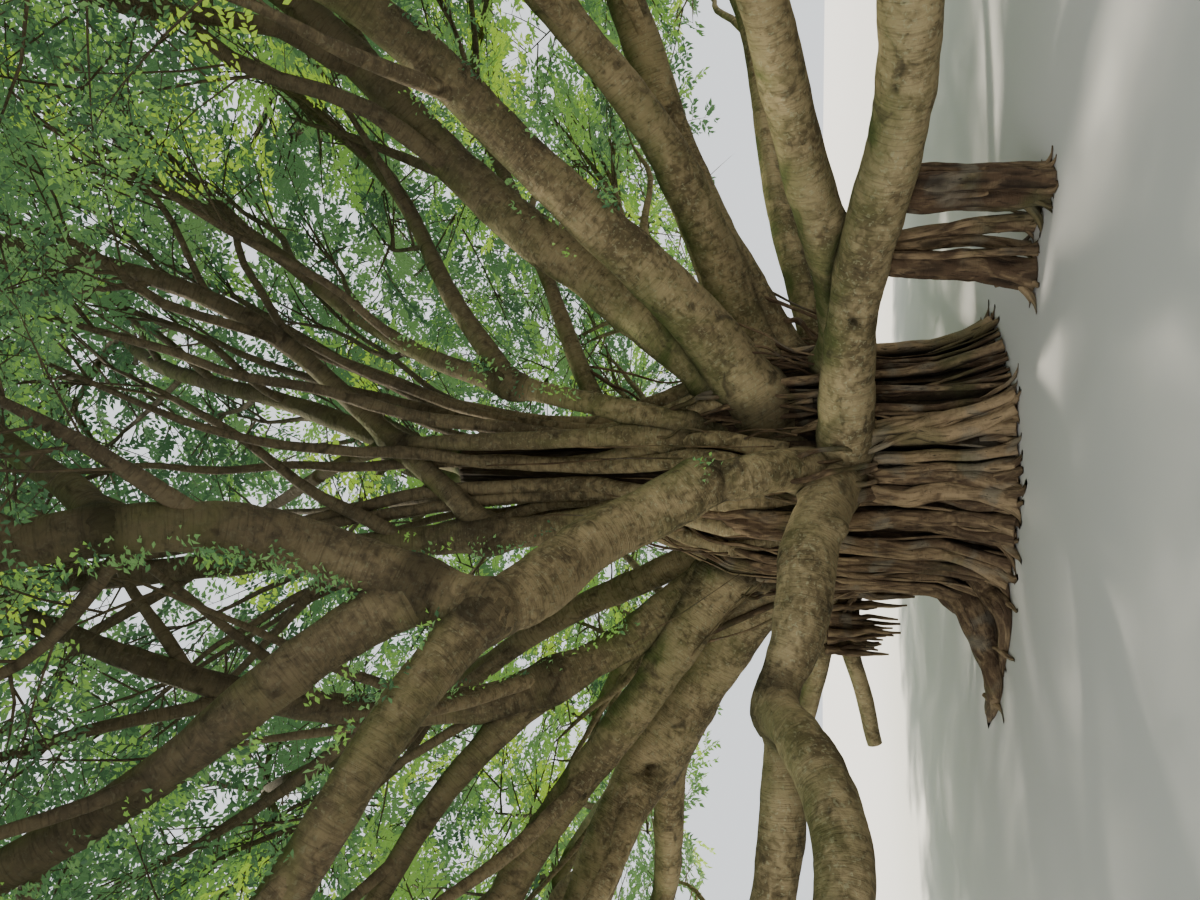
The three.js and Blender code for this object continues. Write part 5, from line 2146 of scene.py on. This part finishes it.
    def build_leaves(self, roots: Array, ways: Array, normals: Array, sizes: Array, tints: Array) -> None:
        """The leaves, as one piece for each part of the crown, with the tints dealt out by spray.

        A leaf is four points: foot, the widest place on each edge, and tip. Its edges are raised
        from its midrib, and its tip bends down.

        Args:
            roots: (n, 3) where leaves start.
            ways: (n, 3) where they head.
            normals: (n, 3) where they face, roughly.
            sizes: (n,) shares of the usual size.
            tints: (n,) tint numbers.
        """
        across = unit(np.cross(normals, ways))
        face = np.cross(ways, across)
        long = (self.leaf_length * sizes)[:, None]
        wide = (self.leaf_width * sizes)[:, None] / 2
        shape = [(0, 0, 0), (0.44, 1, 0.12), (1.0, 0, -0.1), (0.44, -1, 0.12)]
        corners = [roots + ways * long * a + across * wide * b + face * long * c for a, b, c in shape]
        points = np.stack(corners, 1)
        places = ["back_right", "back_left", "front_left", "front_right"]
        names = [f"leaves_{place}_{level}" for level in ("low", "high") for place in places]
        middles = self.part_of(np.array([mass.centre for mass in MASSES]))
        materials = [tint.material() for tint in Tint]
        part = self.part_of(roots)
        for number, name in enumerate(names):
            chosen = points[part == number]
            first = (np.arange(len(chosen)) * 4)[:, None]
            halves = np.stack([first + np.array([0, 2, 1]), first + np.array([0, 3, 2])], 1)
            sheaf = Sheaf()
            slots = np.repeat(tints[part == number], 2)
            sheaf.add(chosen.reshape(-1, 3), [halves.reshape(-1, 3)], slots=slots)
            nodes = [mass.name for mass, middle in zip(MASSES, middles) if middle == number]
            sheaf.finish(name, materials, "foliage", nodes, smooth=False)


# The studio


@dataclass
class Studio:
    """A plain pale floor, soft light, and the camera, which is rolled a quarter turn as in the photo."""

    floor_radius: float = 60.0
    floor_sides: int = 96
    floor_drop: float = 0.004
    lens: float = 27.0
    pitch: float = 12.5
    # Each sun's name, the bearing it shines from, its rise, strength, width in degrees and colour
    suns: tuple = (
        ("sun", 150, 58, 9.0, 4, (1.0, 0.93, 0.8)),
        ("fill", 238, 24, 1.6, 25, (0.95, 0.97, 1.0)),
    )

    def build_floor(self) -> None:
        """A pale disc just under the tree's cut: its edge is radius (cos a, sin a)."""
        turn = turns_round(self.floor_sides)
        edge = direction(np.degrees(turn), 0) * self.floor_radius - UP * self.floor_drop
        mesh = bpy.data.meshes.new("floor")
        mesh.from_pydata(edge.tolist(), [], [list(range(self.floor_sides))])
        mesh.materials.append(Paint("pale floor").finish(Base_Color=(0.62, 0.6, 0.56, 1.0), Roughness=0.9))
        linked("floor", mesh)

    def build_light(self) -> None:
        """An even pale sky, a sun high behind on the left, and a weak wide fill from the front left.

        A sun shines along its own -Z, so its local Z is turned to face where the light comes from.
        """
        world = bpy.data.worlds.new("sky")
        bpy.context.scene.world = world
        world.use_nodes = True
        background = world.node_tree.nodes["Background"]
        background.inputs["Color"].default_value = (0.93, 0.97, 1.0, 1.0)
        background.inputs["Strength"].default_value = 1.35
        for name, bearing, rise, energy, width, colour in self.suns:
            sun = bpy.data.lights.new(name, "SUN")
            sun.energy = energy
            sun.angle = math.radians(width)
            sun.color = colour
            back = direction(bearing, rise)
            side = unit(np.cross(UP, back))
            turn = np.stack([side, np.cross(back, side), back], 1)
            linked(name, sun).rotation_euler = Matrix(turn.tolist()).to_euler()

    def build_camera(self) -> None:
        """The camera at eye height: it looks along +Y and up, with +X at the top of its picture."""
        camera = bpy.data.cameras.new("camera")
        camera.lens = self.lens
        camera.sensor_width = 36.0
        camera.clip_end = 200.0
        piece = linked("camera", camera)
        pitch = math.radians(self.pitch)
        view = np.array([0, math.cos(pitch), math.sin(pitch)])
        top = np.array([1.0, 0, 0])
        turn = np.stack([np.cross(top, -view), top, -view], 1)
        piece.matrix_world = Matrix.Translation(EYE.tolist()) @ Matrix(turn.tolist()).to_4x4()
        bpy.context.scene.camera = piece


def write_sizes() -> None:
    """Updates the view layer, so that every object's place is worked out."""
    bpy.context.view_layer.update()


def main() -> None:
    """Builds the tree from the ground up, then the studio."""
    logging.basicConfig(level=logging.INFO, format="%(message)s")
    roots, limbs = RootBark().material(), LimbBark().material()
    TRUNK.build(roots)
    Pillars(roots).build()
    HangingRoots(roots).build()
    Boughs(limbs).build()
    Crown(limbs).build()
    studio = Studio()
    studio.build_floor()
    studio.build_light()
    studio.build_camera()
    write_sizes()


if __name__ == "__main__":
    main()
